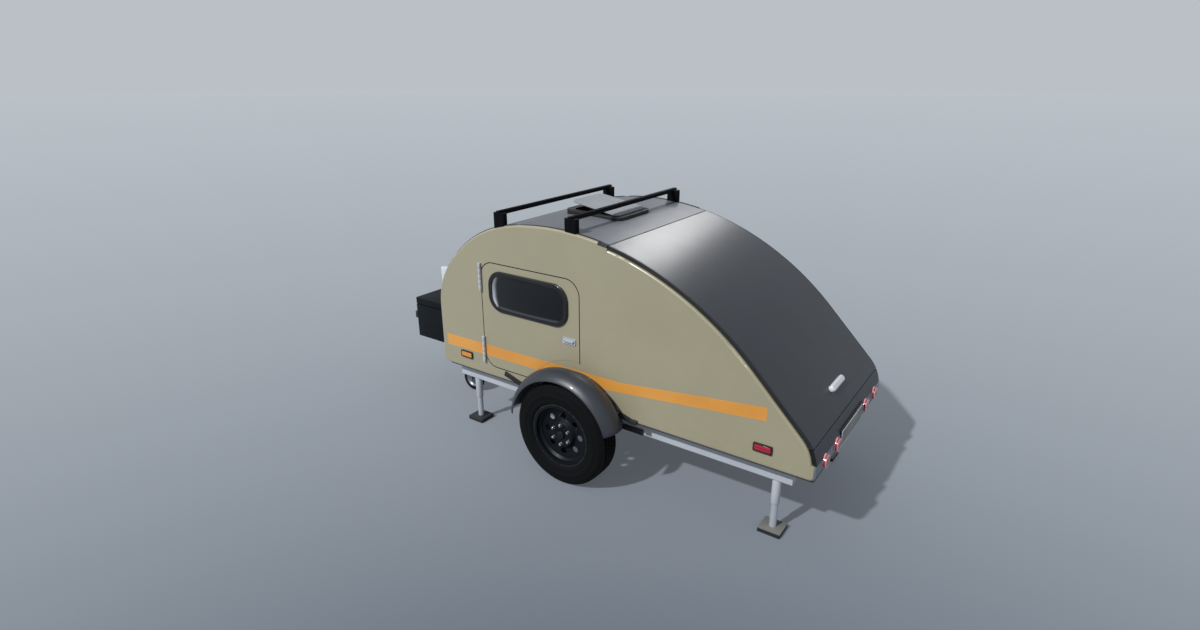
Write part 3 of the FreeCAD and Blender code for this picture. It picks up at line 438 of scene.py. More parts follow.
@dataclass(frozen=True)
class CoachPaint(Finish):
    """Wall paint with its painted stripe, painted shade along the door's gap, a black trim end at
    the seam, and a ply lining on the inner faces.
    """

    body: Colour
    shade: Colour
    stripe: Colour
    stripe_edge: Colour
    lining: Colour
    grain: Colour
    gap_shade: Colour
    inner_face: float
    outer_face: float
    axle: Spot
    door: Box
    seam: float
    low_edge: ClassVar = ((0.6766, 0.0127), (0.6574, 0.1057))
    high_edge: ClassVar = ((0.7600, 0.00975), (0.7212, 0.1216))
    stripe_ends: ClassVar = (-1.318, 1.226)
    gap: ClassVar[float] = 0.005
    half_line: ClassVar[float] = 0.0034
    line_foot: ClassVar[float] = 0.449
    cap_ends: ClassVar = (-0.004, 0.070)
    cap_width: ClassVar[float] = 0.0195
    cap_line: ClassVar = (1.6245, 0.165)

    def band(self, board: Board) -> Wire:
        """The stripe: nearly level over the door, then rising to the tail.

        Each edge is the higher of two straight lines, given by their height at the axle and their
        fall forwards.

        Args:
            board: the board to wire it on.

        Returns:
            A mask, 1 on the stripe.
        """
        x, _, z = board.xyz()
        along = x - self.axle[0]
        low, high = ((level - along * fall).most(tail - along * climb)
                     for (level, fall), (tail, climb) in (self.low_edge, self.high_edge))
        return z.within(low, high) * along.within(*self.stripe_ends)

    def hidden(self, board: Board) -> Wire:
        """Painted shade in the gap round the door and about a millimetre onto the faces beside it,
        down to the arch over the wheel.

        Args:
            board: the board to wire it on.

        Returns:
            A mask, 1 on the painted gap shade.
        """
        x, y, z = board.xyz()
        reach = []
        for place, low, high in tuple(zip((x, y, z), *self.door))[::2]:
            flat = (high - low) / 2 - DOOR_CORNER
            reach.append((abs(place - (low + high) / 2) - flat).most(0.0))
        edge = (reach[0] * reach[0] + reach[1] * reach[1]).root() - DOOR_CORNER
        line = 1 - abs(edge - self.gap / 2).above(self.half_line)
        arch = board.radius(Vector(self.axle), "y").above(self.line_foot)
        return line * arch * abs(y).above(self.inner_face)

    def cap(self, board: Board) -> Wire:
        """The black end of the hatch's side trim, over the wall's edge ahead of the seam.

        Args:
            board: the board to wire it on.

        Returns:
            A mask, 1 on the cap.
        """
        x, y, z = board.xyz()
        ahead = x - self.seam
        return ahead.within(*self.cap_ends) * abs(y).above(self.outer_face - self.cap_width) \
            * (z - ahead * self.cap_line[1]).above(self.cap_line[0])

    def paint(self, board: Board) -> bpy.types.Material:
        """Lay the paint.

        Args:
            board: the board to wire it on.

        Returns:
            The finished material.
        """
        _, y, z = board.xyz()
        clouds = board.noise(2.2, detail=5.0)
        dust = (1 - z.rise(0.5, 0.72)) * board.noise(22.0, detail=6.0).rise(0.35, 0.8) * 0.45
        peel = board.noise(420.0, detail=1.0)
        colour = board.blend((clouds.rise(0.3, 0.7) * 0.5 + dust), self.body, self.shade)
        stripe = board.blend(clouds.rise(0.3, 0.7), self.stripe, self.stripe_edge)
        colour = board.blend(self.band(board), colour, stripe)
        # The dark colour is painted shade along the door's gap, and the black of the trim end on
        # the cap.
        dark = self.hidden(board).most(self.cap(board))
        colour = board.blend(dark, colour, self.gap_shade)
        grain = board.noise(26.0, (0.12, 1, 1), 8.0)
        wood = board.blend(grain.rise(0.35, 0.65), self.lining, self.grain)
        inside = 1 - abs(y).above(self.inner_face)
        return board.close({"Base Color": board.blend(inside, colour, wood),
                            "Roughness": 0.36 + (clouds - 0.5) * 0.14 + dust * 0.3
                            + inside * 0.24 + dark * 0.3,
                            "Coat Weight": 0.8 * (1 - inside.most(dark)), "Coat Roughness": 0.22},
                           peel, 0.00012)


@dataclass(frozen=True)
class Timber(Finish):
    """Varnished plywood with long grain and its plies on the edges."""

    pale: Colour
    dark: Colour

    def paint(self, board: Board) -> bpy.types.Material:
        """Lay the grain.

        Args:
            board: the board to wire it on.

        Returns:
            The finished material.
        """
        grain = board.noise(30.0, (1, 0.1, 1), 8.0)
        figure = board.noise(6.0, (1, 0.3, 1), 4.0)
        mask = (grain * 0.65 + figure * 0.35).rise(0.36, 0.64)
        return board.close({"Base Color": board.blend(mask, self.pale, self.dark),
                            "Roughness": 0.42 + mask * 0.16}, grain, 0.0002)


@dataclass(frozen=True)
class Deck(Timber):
    """A plywood floor, sealed dark on its edges and underneath."""

    sealed: Colour
    top_at: float

    def paint(self, board: Board) -> bpy.types.Material:
        """Lay the grain on top and the sealant elsewhere.

        Args:
            board: the board to wire it on.

        Returns:
            The finished material.
        """
        _, _, z = board.xyz()
        grain = board.noise(30.0, (1, 0.1, 1), 8.0)
        wood = board.blend(grain.rise(0.36, 0.64), self.pale, self.dark)
        top = z.above(self.top_at - 0.0008)
        return board.close({"Base Color": board.blend(top, self.sealed, wood),
                            "Roughness": 0.62 - top * 0.14 + grain * 0.1}, grain, 0.0002)


@dataclass(frozen=True)
class Rubber(Finish):
    """Tyre rubber: fine moulding lines round the wheel, dusty where it runs on the road."""

    fresh: Colour
    dusty: Colour
    hub: Colour
    tread_at: float

    def paint(self, board: Board) -> bpy.types.Material:
        """Lay the rubber.

        Args:
            board: the board to wire it on.

        Returns:
            The finished material.
        """
        radius = board.radius(self.hub, "y")
        lines = (radius * 1400.0).sine()
        grit = board.noise(240.0, detail=4.0)
        dust = radius.rise(self.tread_at - 0.02, self.tread_at) * 0.35 \
            + board.noise(14.0, detail=5.0).rise(0.4, 0.8) * 0.4
        relief = grit * 0.7 + lines * 0.15 * (1 - radius.rise(0.30, 0.32))
        return board.close({"Base Color": board.blend(dust, self.fresh, self.dusty),
                            "Roughness": 0.82 + dust * 0.12,
                            "Specular IOR Level": 0.15}, relief, 0.0004)


@dataclass(frozen=True)
class RimCoat(Finish):
    """Dark wheel enamel, paler in flecks round the flange and dulled by brake dust in the dish."""

    enamel: Colour
    dust: Colour
    bare: Colour
    hub: Colour
    flange: float

    def paint(self, board: Board) -> bpy.types.Material:
        """Lay the enamel.

        Args:
            board: the board to wire it on.

        Returns:
            The finished material.
        """
        radius = board.radius(self.hub, "y")
        flecks = board.noise(90.0, detail=6.0)
        bare = radius.rise(self.flange - 0.005, self.flange - 0.002) \
            * flecks.rise(0.36, 0.58)
        dust = (1 - radius.rise(0.06, 0.17)) * flecks.rise(0.4, 0.7) * 0.5
        colour = board.blend(bare, board.blend(dust, self.enamel, self.dust), self.bare)
        return board.close({"Base Color": colour, "Metallic": 0.1 + bare * 0.4,
                            "Roughness": 0.42 + dust * 0.3 + (flecks - 0.5) * 0.2,
                            "Specular IOR Level": 0.2},
                           flecks, 0.00025)


@dataclass(frozen=True)
class Lens(Finish):
    """Moulded lamp plastic with a fine prism pattern behind a clear face."""

    deep: Colour
    bright: Colour
    prism: float = 420.0

    def paint(self, board: Board) -> bpy.types.Material:
        """Lay the prisms.

        Args:
            board: the board to wire it on.

        Returns:
            The finished material.
        """
        _, y, z = board.xyz()
        prisms = (z * self.prism).sine() * (y * self.prism).sine() * 0.5 + 0.5
        return board.close({"Base Color": board.blend(prisms.rise(0.1, 0.9), self.deep,
                                                      self.bright),
                            "Roughness": 0.16 + prisms * 0.1, "Coat Weight": 1.0,
                            "Coat Roughness": 0.03}, prisms, 0.0003)


@dataclass(frozen=True)
class DarkGlass(Finish):
    """Smoked acrylic: nearly black, with a painted reflection where the bulge turns away at its
    front end and a painted highlight along its lower edge.
    """

    smoke: Colour
    haze: Colour
    pane: Box
    corner: float = 0.085

    def paint(self, board: Board) -> bpy.types.Material:
        """Lay the smoke, the painted reflection and the painted highlight.

        Args:
            board: the board to wire it on.

        Returns:
            The finished material.
        """
        x, _, z = board.xyz()
        waves = board.noise(3.0, detail=2.0)
        smears = board.noise(28.0, (1, 1, 0.4), 5.0).rise(0.45, 0.8)
        low, high = self.pane
        tall = (high[2] - low[2]) / 2 - self.corner
        rise = (abs(z - (low[2] + high[2]) / 2) - tall).most(0.0)
        # The painted reflection: pale round the pane's rounded front end, fading inwards and
        # stronger low down.
        along = (x - (high[0] - self.corner)).most(0.0)
        round_end = (rise * rise + along * along).root() * along.rise(0.0, 0.055)
        sheen = round_end.rise(0.0, 0.086)
        # A painted highlight along the pane's lower edge.
        painted_sill_highlight = (1 - (z - low[2]).rise(0.006, 0.023)) * 0.11
        lean = 1.3 - z.rise(low[2], high[2]) * 0.85
        mask = (sheen * sheen * lean * (0.8 + waves * 0.3)).most(painted_sill_highlight)
        return board.close({"Base Color": board.blend(mask, self.smoke, self.haze),
                            "Roughness": 0.1 + smears * 0.08, "Specular IOR Level": 0.35,
                            "Coat Weight": 0.3, "Coat Roughness": 0.03}, waves, 0.002)


@dataclass(frozen=True)
class FootPad(Finish):
    """A zinc leg on a rubber foot with a pale top, dark on the front legs."""

    side: Colour
    top: Colour
    front_top: Colour
    tube: Colour
    top_at: float
    middle: float

    def paint(self, board: Board) -> bpy.types.Material:
        """Lay the rubber, its pale top and the zinc above it.

        Args:
            board: the board to wire it on.

        Returns:
            The finished material.
        """
        x, _, z = board.xyz()
        grit = board.noise(120.0, detail=6.0)
        # The top is pale on the rear legs and dark on the front legs.
        worn = board.blend(x.above(self.middle), self.top, self.front_top)
        top = z.rise(self.top_at - 0.004, self.top_at - 0.001) * (0.75 + grit * 0.4)
        tube = z.above(self.top_at + 0.0012)
        rubber = board.blend(top, self.side, worn)
        return board.close({"Base Color": board.blend(tube, rubber, self.tube),
                            "Metallic": tube * 0.5,
                            "Roughness": 0.66 + grit * 0.2 - tube * 0.3}, grit, 0.0004)


# ---------------------------------------------------------------- workbench

class Bench:
    """The tools that pieces are modelled with, each on Blender's own operators."""

    @staticmethod
    def clear() -> None:
        """Go back to object mode with nothing selected."""
        if bpy.context.object is not None and bpy.context.object.mode != "OBJECT":
            bpy.ops.object.mode_set(mode="OBJECT")
        bpy.ops.object.select_all(action="DESELECT")

    @staticmethod
    def take(*pieces: Piece) -> None:
        """Select pieces, the first of them active."""
        Bench.clear()
        for piece in pieces:
            piece.select_set(True)
        bpy.context.view_layer.objects.active = pieces[0]

    @staticmethod
    @contextmanager
    def editing(piece: Piece) -> Iterator[None]:
        """Shape a piece in edit mode, with nothing of it selected at first.

        Args:
            piece: the piece to shape.

        Yields:
            Nothing; the piece is back in object mode afterwards.
        """
        Bench.take(piece)
        bpy.ops.object.mode_set(mode="EDIT")
        bpy.ops.mesh.select_all(action="DESELECT")
        yield
        bpy.ops.object.mode_set(mode="OBJECT")

    @staticmethod
    def pick_faces(piece: Piece, wanted: Callable[[Vector, Vector], bool]) -> None:
        """Select faces in edit mode, by their centre and normal.

        Args:
            piece: the piece in edit mode.
            wanted: says of a centre and a normal whether the face is selected.
        """
        bpy.ops.mesh.select_mode(type="FACE")
        mesh = bmesh.from_edit_mesh(piece.data)
        for face in mesh.faces:
            face.select_set(wanted(face.calc_center_median(), face.normal))
        mesh.select_flush_mode()
        bmesh.update_edit_mesh(piece.data)

    @staticmethod
    def pick_facing(piece: Piece, way: Sequence[float], least: float = 0.9) -> None:
        """Select in edit mode the faces that look a way."""
        Bench.pick_faces(piece, lambda centre, normal: normal.dot(Vector(way)) > least)

    @staticmethod
    def round_corners(piece: Piece, radius: float, segments: int) -> None:
        """Round in edit mode the edges that run from side to side.

        Args:
            piece: the piece in edit mode.
            radius: the radius of the rounding.
            segments: steps of the rounding.
        """
        bpy.ops.mesh.select_mode(type="EDGE")
        mesh = bmesh.from_edit_mesh(piece.data)
        for edge in mesh.edges:
            edge.select_set(abs(edge.verts[0].co.y - edge.verts[1].co.y) > 0.001)
        mesh.select_flush_mode()
        bmesh.update_edit_mesh(piece.data)
        bpy.ops.mesh.bevel(offset=radius, segments=segments)

    @staticmethod
    def outward() -> None:
        """Turn all faces outwards in edit mode."""
        bpy.ops.mesh.select_all(action="SELECT")
        bpy.ops.mesh.normals_make_consistent(inside=False)

    @staticmethod
    def settle(name: str) -> Piece:
        """Name the new piece, and put its place, turn and size in its mesh.

        Args:
            name: the piece's name.

        Returns:
            The piece.
        """
        piece = bpy.context.object
        piece.name = name
        Bench.take(piece)
        bpy.ops.object.transform_apply(location=True, rotation=True, scale=True)
        return piece

    @staticmethod
    def block(name: str, one: Sequence[float], other: Sequence[float]) -> Piece:
        """Start a piece from a block between any two opposite corners.

        Args:
            name: the piece's name.
            one: a corner.
            other: the corner opposite it.

        Returns:
            The block.
        """
        Bench.clear()
        one, other = Vector(one), Vector(other)
        bpy.ops.mesh.primitive_cube_add(size=1, location=(one + other) / 2)
        bpy.context.object.scale = [abs(part) for part in other - one]
        return Bench.settle(name)

    @staticmethod
    def rod(name: str, radius: float, start: Sequence[float], end: Sequence[float],
            sides: int = 32) -> Piece:
        """Start a piece from a round bar between two points.

        Args:
            name: the piece's name.
            radius: the bar's radius.
            start: the middle of one end.
            end: the middle of the other end.
            sides: flats round the bar.

        Returns:
            The bar.
        """
        Bench.clear()
        line = Vector(end) - Vector(start)
        bpy.ops.mesh.primitive_cylinder_add(
            vertices=sides, radius=radius, depth=line.length,
            location=(Vector(start) + Vector(end)) / 2,
            rotation=line.to_track_quat("Z", "Y").to_euler())
        return Bench.settle(name)

    @staticmethod
    def lathe(name: str, outline: Sequence[tuple[float, float]], hub: Vector, axis: str = "y",
              steps: int = 64) -> Piece:
        """Turn a closed outline about an axis through a hub.

        Args:
            name: the piece's name.
            outline: its points as (radius, place along the axis from the hub).
            hub: a point on the axis.
            axis: x or y.
            steps: flats round the axis.

        Returns:
            The turned piece, closed and facing outwards.
        """
        Bench.clear()
        bpy.ops.mesh.primitive_circle_add(vertices=len(outline), radius=1.0)
        piece = bpy.context.object
        piece.name = name
        line = Vector([float(letter == axis) for letter in "xyz"])
        for vertex, (radius, along) in zip(piece.data.vertices, outline):
            vertex.co = hub + Vector((0, 0, radius)) + line * along
        with Bench.editing(piece):
            bpy.ops.mesh.select_all(action="SELECT")
            bpy.ops.mesh.spin(steps=steps, angle=2 * math.pi, center=hub, axis=line)
            bpy.ops.mesh.select_all(action="SELECT")
            bpy.ops.mesh.remove_doubles(threshold=MERGE)
            Bench.outward()
        return piece

    @staticmethod
    def soften(piece: Piece, width: float = 0.0, segments: int = 2, smooth: float = 35.0) -> Piece:
        """Round a piece's sharp edges and smooth what is left.

        Args:
            piece: the piece.
            width: the width of the rounding, or 0 for none.
            segments: steps of the rounding.
            smooth: edges sharper than these degrees stay sharp.

        Returns:
            The piece.
        """
        Bench.take(piece)
        if width > 0:
            bevel = piece.modifiers.new("bevel", "BEVEL")
            bevel.width, bevel.segments, bevel.limit_method = width, segments, "ANGLE"
            bevel.angle_limit, bevel.use_clamp_overlap = math.radians(32), True
            bpy.ops.object.modifier_apply(modifier=bevel.name)
        bpy.ops.object.shade_smooth_by_angle(angle=math.radians(smooth))
        return piece

    @staticmethod
    def copy(piece: Piece, name: str, shift: Matrix) -> Piece:
        """Copy a piece with a mesh of its own, moved by a matrix.

        Args:
            piece: the piece to copy.
            name: the copy's name.
            shift: where the copy goes.

        Returns:
            The copy.
        """
        twin = bpy.data.objects.new(name, piece.data.copy())
        bpy.context.scene.collection.objects.link(twin)
        twin.data.transform(shift)
        if shift.determinant() < 0:
            with Bench.editing(twin):
                Bench.outward()
        return twin

    @staticmethod
    def join(name: str, pieces: Sequence[Piece]) -> Piece:
        """Make one piece of several.

        Args:
            name: the joined piece's name.
            pieces: what is joined.

        Returns:
            The joined piece.
        """
        Bench.take(*pieces)
        bpy.ops.object.join()
        pieces[0].name = name
        return pieces[0]

    @staticmethod
    def array(name: str, piece: Piece, shifts: Sequence[Matrix]) -> Piece:
        """Join copies of a piece, one for each matrix, and delete the piece itself.

        Args:
            name: the joined piece's name.
            piece: the piece to copy.
            shifts: where the copies go.

        Returns:
            The joined copies.
        """
        copies = [Bench.copy(piece, f"{name}_{number}", shift)
                  for number, shift in enumerate(shifts)]
        bpy.data.objects.remove(piece)
        return Bench.join(name, copies)

    @staticmethod
    def ring(name: str, piece: Piece, count: int, hub: Vector, first: float = 0.0) -> Piece:
        """Set copies of a piece evenly round the wheel's axis, and join them.

        Args:
            name: the joined piece's name.
            piece: the piece, which is deleted.
            count: how many copies.
            hub: a point on the axis.
            first: the first copy's turn, in radians.

        Returns:
            The joined piece.
        """
        turns = [Matrix.Rotation(first + 2 * math.pi * step / count, 4, "Y")
                 for step in range(count)]
        return Bench.array(name, piece, [Matrix.Translation(hub) @ turn @ Matrix.Translation(-hub)
                                         for turn in turns])

    @staticmethod
    def refine(node: str, width: float, segments: int = 2) -> Piece:
        """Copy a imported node, merge its corners and round its sharp edges.

        Args:
            node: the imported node.
            width: the width of the rounding.
            segments: steps of the rounding.

        Returns:
            The new piece, not yet standing for the node.
        """
        piece = bpy.data.objects.new(f"{node}_finished", frame["nodes"][node].data.copy())
        bpy.context.scene.collection.objects.link(piece)
        Bench.take(piece)
        bpy.ops.mesh.customdata_custom_splitnormals_clear()
        with Bench.editing(piece):
            bpy.ops.mesh.select_all(action="SELECT")
            bpy.ops.mesh.remove_doubles(threshold=MERGE)
            bpy.ops.mesh.dissolve_limited(angle_limit=math.radians(0.6))
        return Bench.soften(piece, width, segments)


# ---------------------------------------------------------------- sub-assemblies

def slot_of(node: str) -> str:
    """The record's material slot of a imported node."""
    return frame["nodes"][node].data.materials[0].name


def corners(node: str) -> Box:
    """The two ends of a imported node's box."""
    return tuple(tuple(corner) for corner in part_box(node))


NODE_BODY = {node: body for body, nodes in frame["record"]["behaviour"]["bodies"].items()
             for node in nodes}


@dataclass
class Assembly:
    """A sub-assembly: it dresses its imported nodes, then models what they leave out.

    The nodes in coats keep their mesh. Those in refits are replaced by a refined copy, and go
    with their finish, the width of their rounded edges and its steps.
    """

    coats: ClassVar[dict[str, Finish]] = {}
    refits: ClassVar[dict[str, tuple]] = {}
    pieces: list[Piece] = field(default_factory=list, init=False)

    def fit(self, piece: Piece, finish: Finish, slot: str, body: str = "trailer",
            stands_for: Sequence[str] = ()) -> Piece:
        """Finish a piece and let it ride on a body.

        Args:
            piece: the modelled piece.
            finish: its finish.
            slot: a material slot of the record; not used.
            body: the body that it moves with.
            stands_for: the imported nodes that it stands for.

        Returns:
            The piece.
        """
        piece.data.materials.clear()
        piece.data.materials.append(finish.material())
        for face in piece.data.polygons:
            face.material_index = 0
        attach(piece, body)
        if stands_for:
            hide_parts(*stands_for)
        self.pieces.append(piece)
        return piece

    def coat(self, node: str, finish: Finish) -> None:
        """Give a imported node's object a finish, with its mesh left alone.

        Args:
            node: the node's name.
            finish: its finish.
        """
        for place in frame["nodes"][node].material_slots:
            place.link = "OBJECT"
            place.material = finish.material()

    def refit(self, node: str, finish: Finish, width: float, segments: int = 2) -> Piece:
        """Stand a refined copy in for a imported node."""
        return self.fit(Bench.refine(node, width, segments), finish, slot_of(node),
                        NODE_BODY[node], [node])

    def build(self) -> None:
        """Dress the nodes and model the rest."""
        for node, finish in self.coats.items():
            self.coat(node, finish)
        for node, choices in self.refits.items():
            self.refit(node, *choices)
        self.model()

    def model(self) -> None:
        """Model the pieces that aren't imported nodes."""


AXLE = Vector(((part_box("tyre_left")[0].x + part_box("tyre_left")[1].x) / 2, 0.0,
               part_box("tyre_left")[1].z / 2))
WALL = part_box("wall_left")[1].y

# Its dark colour is painted shade in the door's gap and the black of the trim end.
CREAM = CoachPaint("wall_cream", body=tone(163, 157, 131), shade=tone(153, 147, 122),
                   stripe=tone(228, 161, 72), stripe_edge=tone(214, 146, 58),
                   lining=tone(178, 150, 108), grain=tone(150, 120, 80),
                   gap_shade=tone(24, 25, 27), inner_face=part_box("wall_left")[0].y + 0.002,
                   outer_face=WALL, axle=tuple(AXLE), door=corners("door_left"),
                   seam=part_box("hatch_hinge")[1].x)
GRAPHITE = EdgedCoat("hatch_graphite", tone(44, 48, 55), tone(39, 43, 50), scale=260.0, rough=0.38,
                     spread=0.04, depth=0.00008, edge=WALL - 0.0195, border=tone(20, 21, 24))
# The border along the roof's rear end is painted shade of the seam with the hatch; along its sides
# it is the sheet's dark edge.
ROOF_SATIN = EdgedCoat("roof_satin", tone(114, 117, 124), tone(106, 109, 116), scale=260.0,
                       rough=0.38, spread=0.05, depth=0.00008, gleam=0.1, edge=WALL - 0.036,
                       border=tone(18, 19, 22), rear=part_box("roof_skin")[0].x + 0.005)
SEAL = Coat("seal_rubber", tone(22, 23, 25), tone(33, 34, 36), texture=Texture.PEBBLE, scale=900.0,
            rough=0.62, spread=0.1)
SILVER = Coat("tail_silver", tone(150, 156, 166), tone(132, 138, 148), texture=Texture.ACROSS,
              scale=240.0, rough=0.38, metal=0.6, depth=0.0001)
RAIL_GREY = Coat("rail_grey", tone(190, 195, 203), tone(176, 181, 190), scale=420.0, clear=0.1,
                 depth=0.00015)
RAIL_WHITE = Coat("rail_white", tone(192, 197, 204), tone(180, 185, 193), scale=420.0, spread=0.1,
                  clear=0.1, depth=0.00015)
FRAME_BLACK = Coat("window_frame", tone(16, 17, 19), tone(24, 25, 27), scale=500.0, rough=0.3,
                   spread=0.08, clear=0.3, depth=0.0001)
CHASSIS = Coat("chassis_black", tone(30, 32, 36), tone(46, 48, 52), texture=Texture.PEBBLE,
               scale=520.0, metal=0.1, depth=0.0003)
BOX_BLACK = Coat("toolbox_black", tone(21, 25, 29), tone(16, 19, 23), texture=Texture.PEBBLE,
                 scale=420.0, rough=0.55, spread=0.1, depth=0.0003, gleam=0.12)
ZINC = Coat("galvanised", tone(150, 155, 162), tone(118, 123, 130), texture=Texture.SPANGLE,
            scale=120.0, rough=0.42, spread=0.16, metal=0.75, depth=0.0001)
STEEL = Coat("bright_steel", tone(205, 208, 212), tone(160, 163, 168), scale=200.0, rough=0.22,
             spread=0.1, metal=0.95, depth=0.0001)
FENDER_SKIN = Coat("fender_moulding", tone(44, 48, 57), tone(38, 42, 50), texture=Texture.PEBBLE,
                   scale=640.0, rough=0.4, spread=0.08, clear=0.1, gleam=0.6)
HUB_DARK = Coat("hub_enamel", tone(24, 29, 35), tone(34, 37, 40), rough=0.45, spread=0.14,
                metal=0.2, clear=0.1, gleam=0.2)
BAR_BLACK = Coat("bar_powder", tone(17, 19, 23), tone(13, 15, 18), texture=Texture.PEBBLE,
                 scale=700.0, rough=0.62, spread=0.08, depth=0.0001, gleam=0.05)
PLY = Timber("birch_ply", tone(190, 160, 116), tone(158, 126, 84))
# Its pale colour is painted reflection and painted highlight on the pane.
SMOKED = DarkGlass("smoked_acrylic", smoke=tone(15, 17, 20), haze=tone(186, 191, 198),
                   pane=corners("door_pane_left"))
RED_LENS = Lens("red_lens", tone(140, 10, 30), tone(186, 40, 66))
AMBER_LENS = Lens("amber_lens", tone(196, 112, 26), tone(240, 168, 66))
CLEAR_LENS = Lens("clear_lens", tone(196, 202, 210), tone(236, 240, 244))
WHITE = Coat("white_plastic", tone(222, 224, 228), tone(206, 208, 212), scale=500.0, rough=0.3,
             spread=0.08, clear=0.3, depth=0.0001)
LIGHT_GREY = Coat("light_grey_plastic", tone(186, 192, 202), tone(170, 176, 186), scale=460.0,
                  rough=0.34, spread=0.1, metal=0.1, clear=0.3, depth=0.0001)
LAMP_RIM = Coat("lamp_rim", tone(228, 176, 182), tone(210, 156, 164), scale=420.0, rough=0.25,
                spread=0.08, metal=0.1, clear=0.6, depth=0.0001)
# The white border is painted highlight round the plate's edges.
PLATE_WHITE = PlateCoat("plate_white", tone(246, 247, 246), tone(232, 233, 232),
                        texture=Texture.PEBBLE, scale=900.0, rough=0.34, spread=0.08, clear=0.2,
                        depth=0.00005, face=tone(118, 120, 121), plate=corners("number_plate"))
PADS = FootPad("foot_pad", side=tone(30, 32, 36), top=tone(120, 120, 116),
               front_top=tone(44, 47, 52), tube=tone(186, 191, 198), top_at=0.030, middle=AXLE.x)
VENT_SHEET = Coat("vent_sheet", tone(147, 151, 157), tone(136, 140, 147), texture=Texture.ALONG,
                  rough=0.6, spread=0.1, depth=0.0001, gleam=0.35)
DECK = Deck("floor_deck", tone(190, 160, 116), tone(158, 126, 84), sealed=tone(96, 98, 100),
            top_at=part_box("floor_panel")[1].z)


def mirrored(half: list[tuple[float, float]]) -> list[tuple[float, float]]:
    """Close a wheel's outline with its mirror image across the wheel's middle."""
    return half + [(radius, -place) for radius, place in reversed(half)]


@dataclass
class Shell(Assembly):
    """Walls, roof, floor, tail and the galley behind the hatch."""

    coats: ClassVar = {"wall_left": CREAM, "wall_right": CREAM, "roof_skin": ROOF_SATIN,
                       "rear_valance": GRAPHITE}
    refits: ClassVar = {"bulkhead": (PLY, 0.0015), "galley_counter": (PLY, 0.0015),
                        "galley_cabinet": (PLY, 0.0015), "floor_panel": (DECK, 0.0015),
                        "tail_panel": (SILVER, 0.002)}
    seal_out: float = 0.0025
    seal_deep: float = 0.016
    seal_half: float = 0.004
    seal_wide: float = 0.0035
    strip_radii: tuple[float, float] = (0.4554, 0.4596)
    strip_depths: tuple[float, float] = (0.012, 0.0012)
    strip_past_door: float = 0.004
    strip_under_door: float = 0.003
    bead_radius: float = 0.0048
    bead_end: float = 0.004
    roof_middle: float = 0.5

    def model(self) -> None:
        """Seal the doors' gaps and the roof's side joints."""
        self.door_seals()
        self.arch_strips()
        self.roof_beads()

    def door_seals(self) -> None:
        """A soft black seal behind the gap round each door, bent just outside its edge."""
        low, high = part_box("door_left")
        for side in Side:
            deep = side.value * (WALL - self.seal_deep)
            seal = Bench.block(f"door_seal_{side.word}",
                               (low.x - self.seal_out, deep - self.seal_half,
                                low.z - self.seal_out),
                               (high.x + self.seal_out, deep + self.seal_half,
                                high.z + self.seal_out))
            with Bench.editing(seal):
                Bench.round_corners(seal, DOOR_CORNER, 12)
                Bench.pick_faces(seal, lambda centre, normal: abs(normal.y) > 0.9)
                bpy.ops.mesh.inset(thickness=self.seal_wide)
                bpy.ops.mesh.delete(type="FACE")
                bpy.ops.mesh.select_mode(type="EDGE")
                bpy.ops.mesh.select_non_manifold(extend=False)
                bpy.ops.mesh.bridge_edge_loops()
                Bench.outward()
            self.fit(Bench.soften(seal), SEAL, "trim_black")

    def arch_strips(self) -> None:
        """A strip in the wall's colour that fills the door's gap over the fender."""
        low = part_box("door_left")[0]
        ends = (((low.x - self.strip_past_door, 0, 0), (1, 0, 0)),
                ((0, 0, low.z - self.strip_under_door), (0, 0, 1)))
        (inner, outer), (deep, shallow) = self.strip_radii, self.strip_depths
        for side in Side:
            outline = [(radius, side.value * (WALL - depth)) for radius, depth in
                       ((inner, deep), (outer, deep), (outer, shallow), (inner, shallow))]
            strip = Bench.lathe(f"arch_strip_{side.word}", outline, AXLE, steps=180)
            with Bench.editing(strip):
                for spot, normal in ends:
                    bpy.ops.mesh.select_all(action="SELECT")
                    bpy.ops.mesh.bisect(plane_co=spot, plane_no=normal, use_fill=True,
                                        clear_inner=True)
            self.fit(Bench.soften(strip), CREAM, slot_of("wall_left"))

    def roof_beads(self) -> None:
        """A thin black bead over each side joint of the roof sheet, ahead of the seam."""
        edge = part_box("roof_skin")[1].y
        middle = Vector((AXLE.x, edge, AXLE.z + self.roof_middle))
        rim = self.roof_rim(middle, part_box("hatch_hinge")[1].x + self.bead_end)
        for side in Side:
            Bench.clear()
            bpy.ops.curve.primitive_nurbs_path_add()
            bead = bpy.context.object
            bead.name = f"roof_bead_{side.word}"
            bead.data.splines.clear()
            line = bead.data.splines.new("POLY")
            line.points.add(len(rim) - 1)
            for point, away in zip(line.points, rim):
                spot = middle + away
                point.co = (spot.x, side.value * edge, spot.z, 1)
            bead.data.bevel_depth = self.bead_radius
            bead.data.bevel_resolution = 2
            bead.data.use_fill_caps = True
            bpy.ops.object.convert(target="MESH")
            self.fit(Bench.soften(bead), SEAL, "trim_black")

    def roof_rim(self, middle: Vector, rear: float) -> list[Vector]:
        """Find the outer edge of the roof sheet's side, one point for each degree.

        Args:
            middle: a point inside the curve, level with the sheet's side.
            rear: the X that it ends at.

        Returns:
            The points from the middle, from the front to the rear.
        """
        skin = frame["nodes"]["roof_skin"]
        rim: dict[int, Vector] = {}
        for vertex in skin.data.vertices:
            away = skin.matrix_world @ vertex.co - middle
            if away.y > -0.0005 and away.x > rear - middle.x and away.z > 0.1:
                turn = round(math.degrees(math.atan2(away.z, away.x)))
                if away.length > rim.get(turn, Vector()).length:
                    rim[turn] = away
        return [rim[turn] for turn in sorted(rim)]


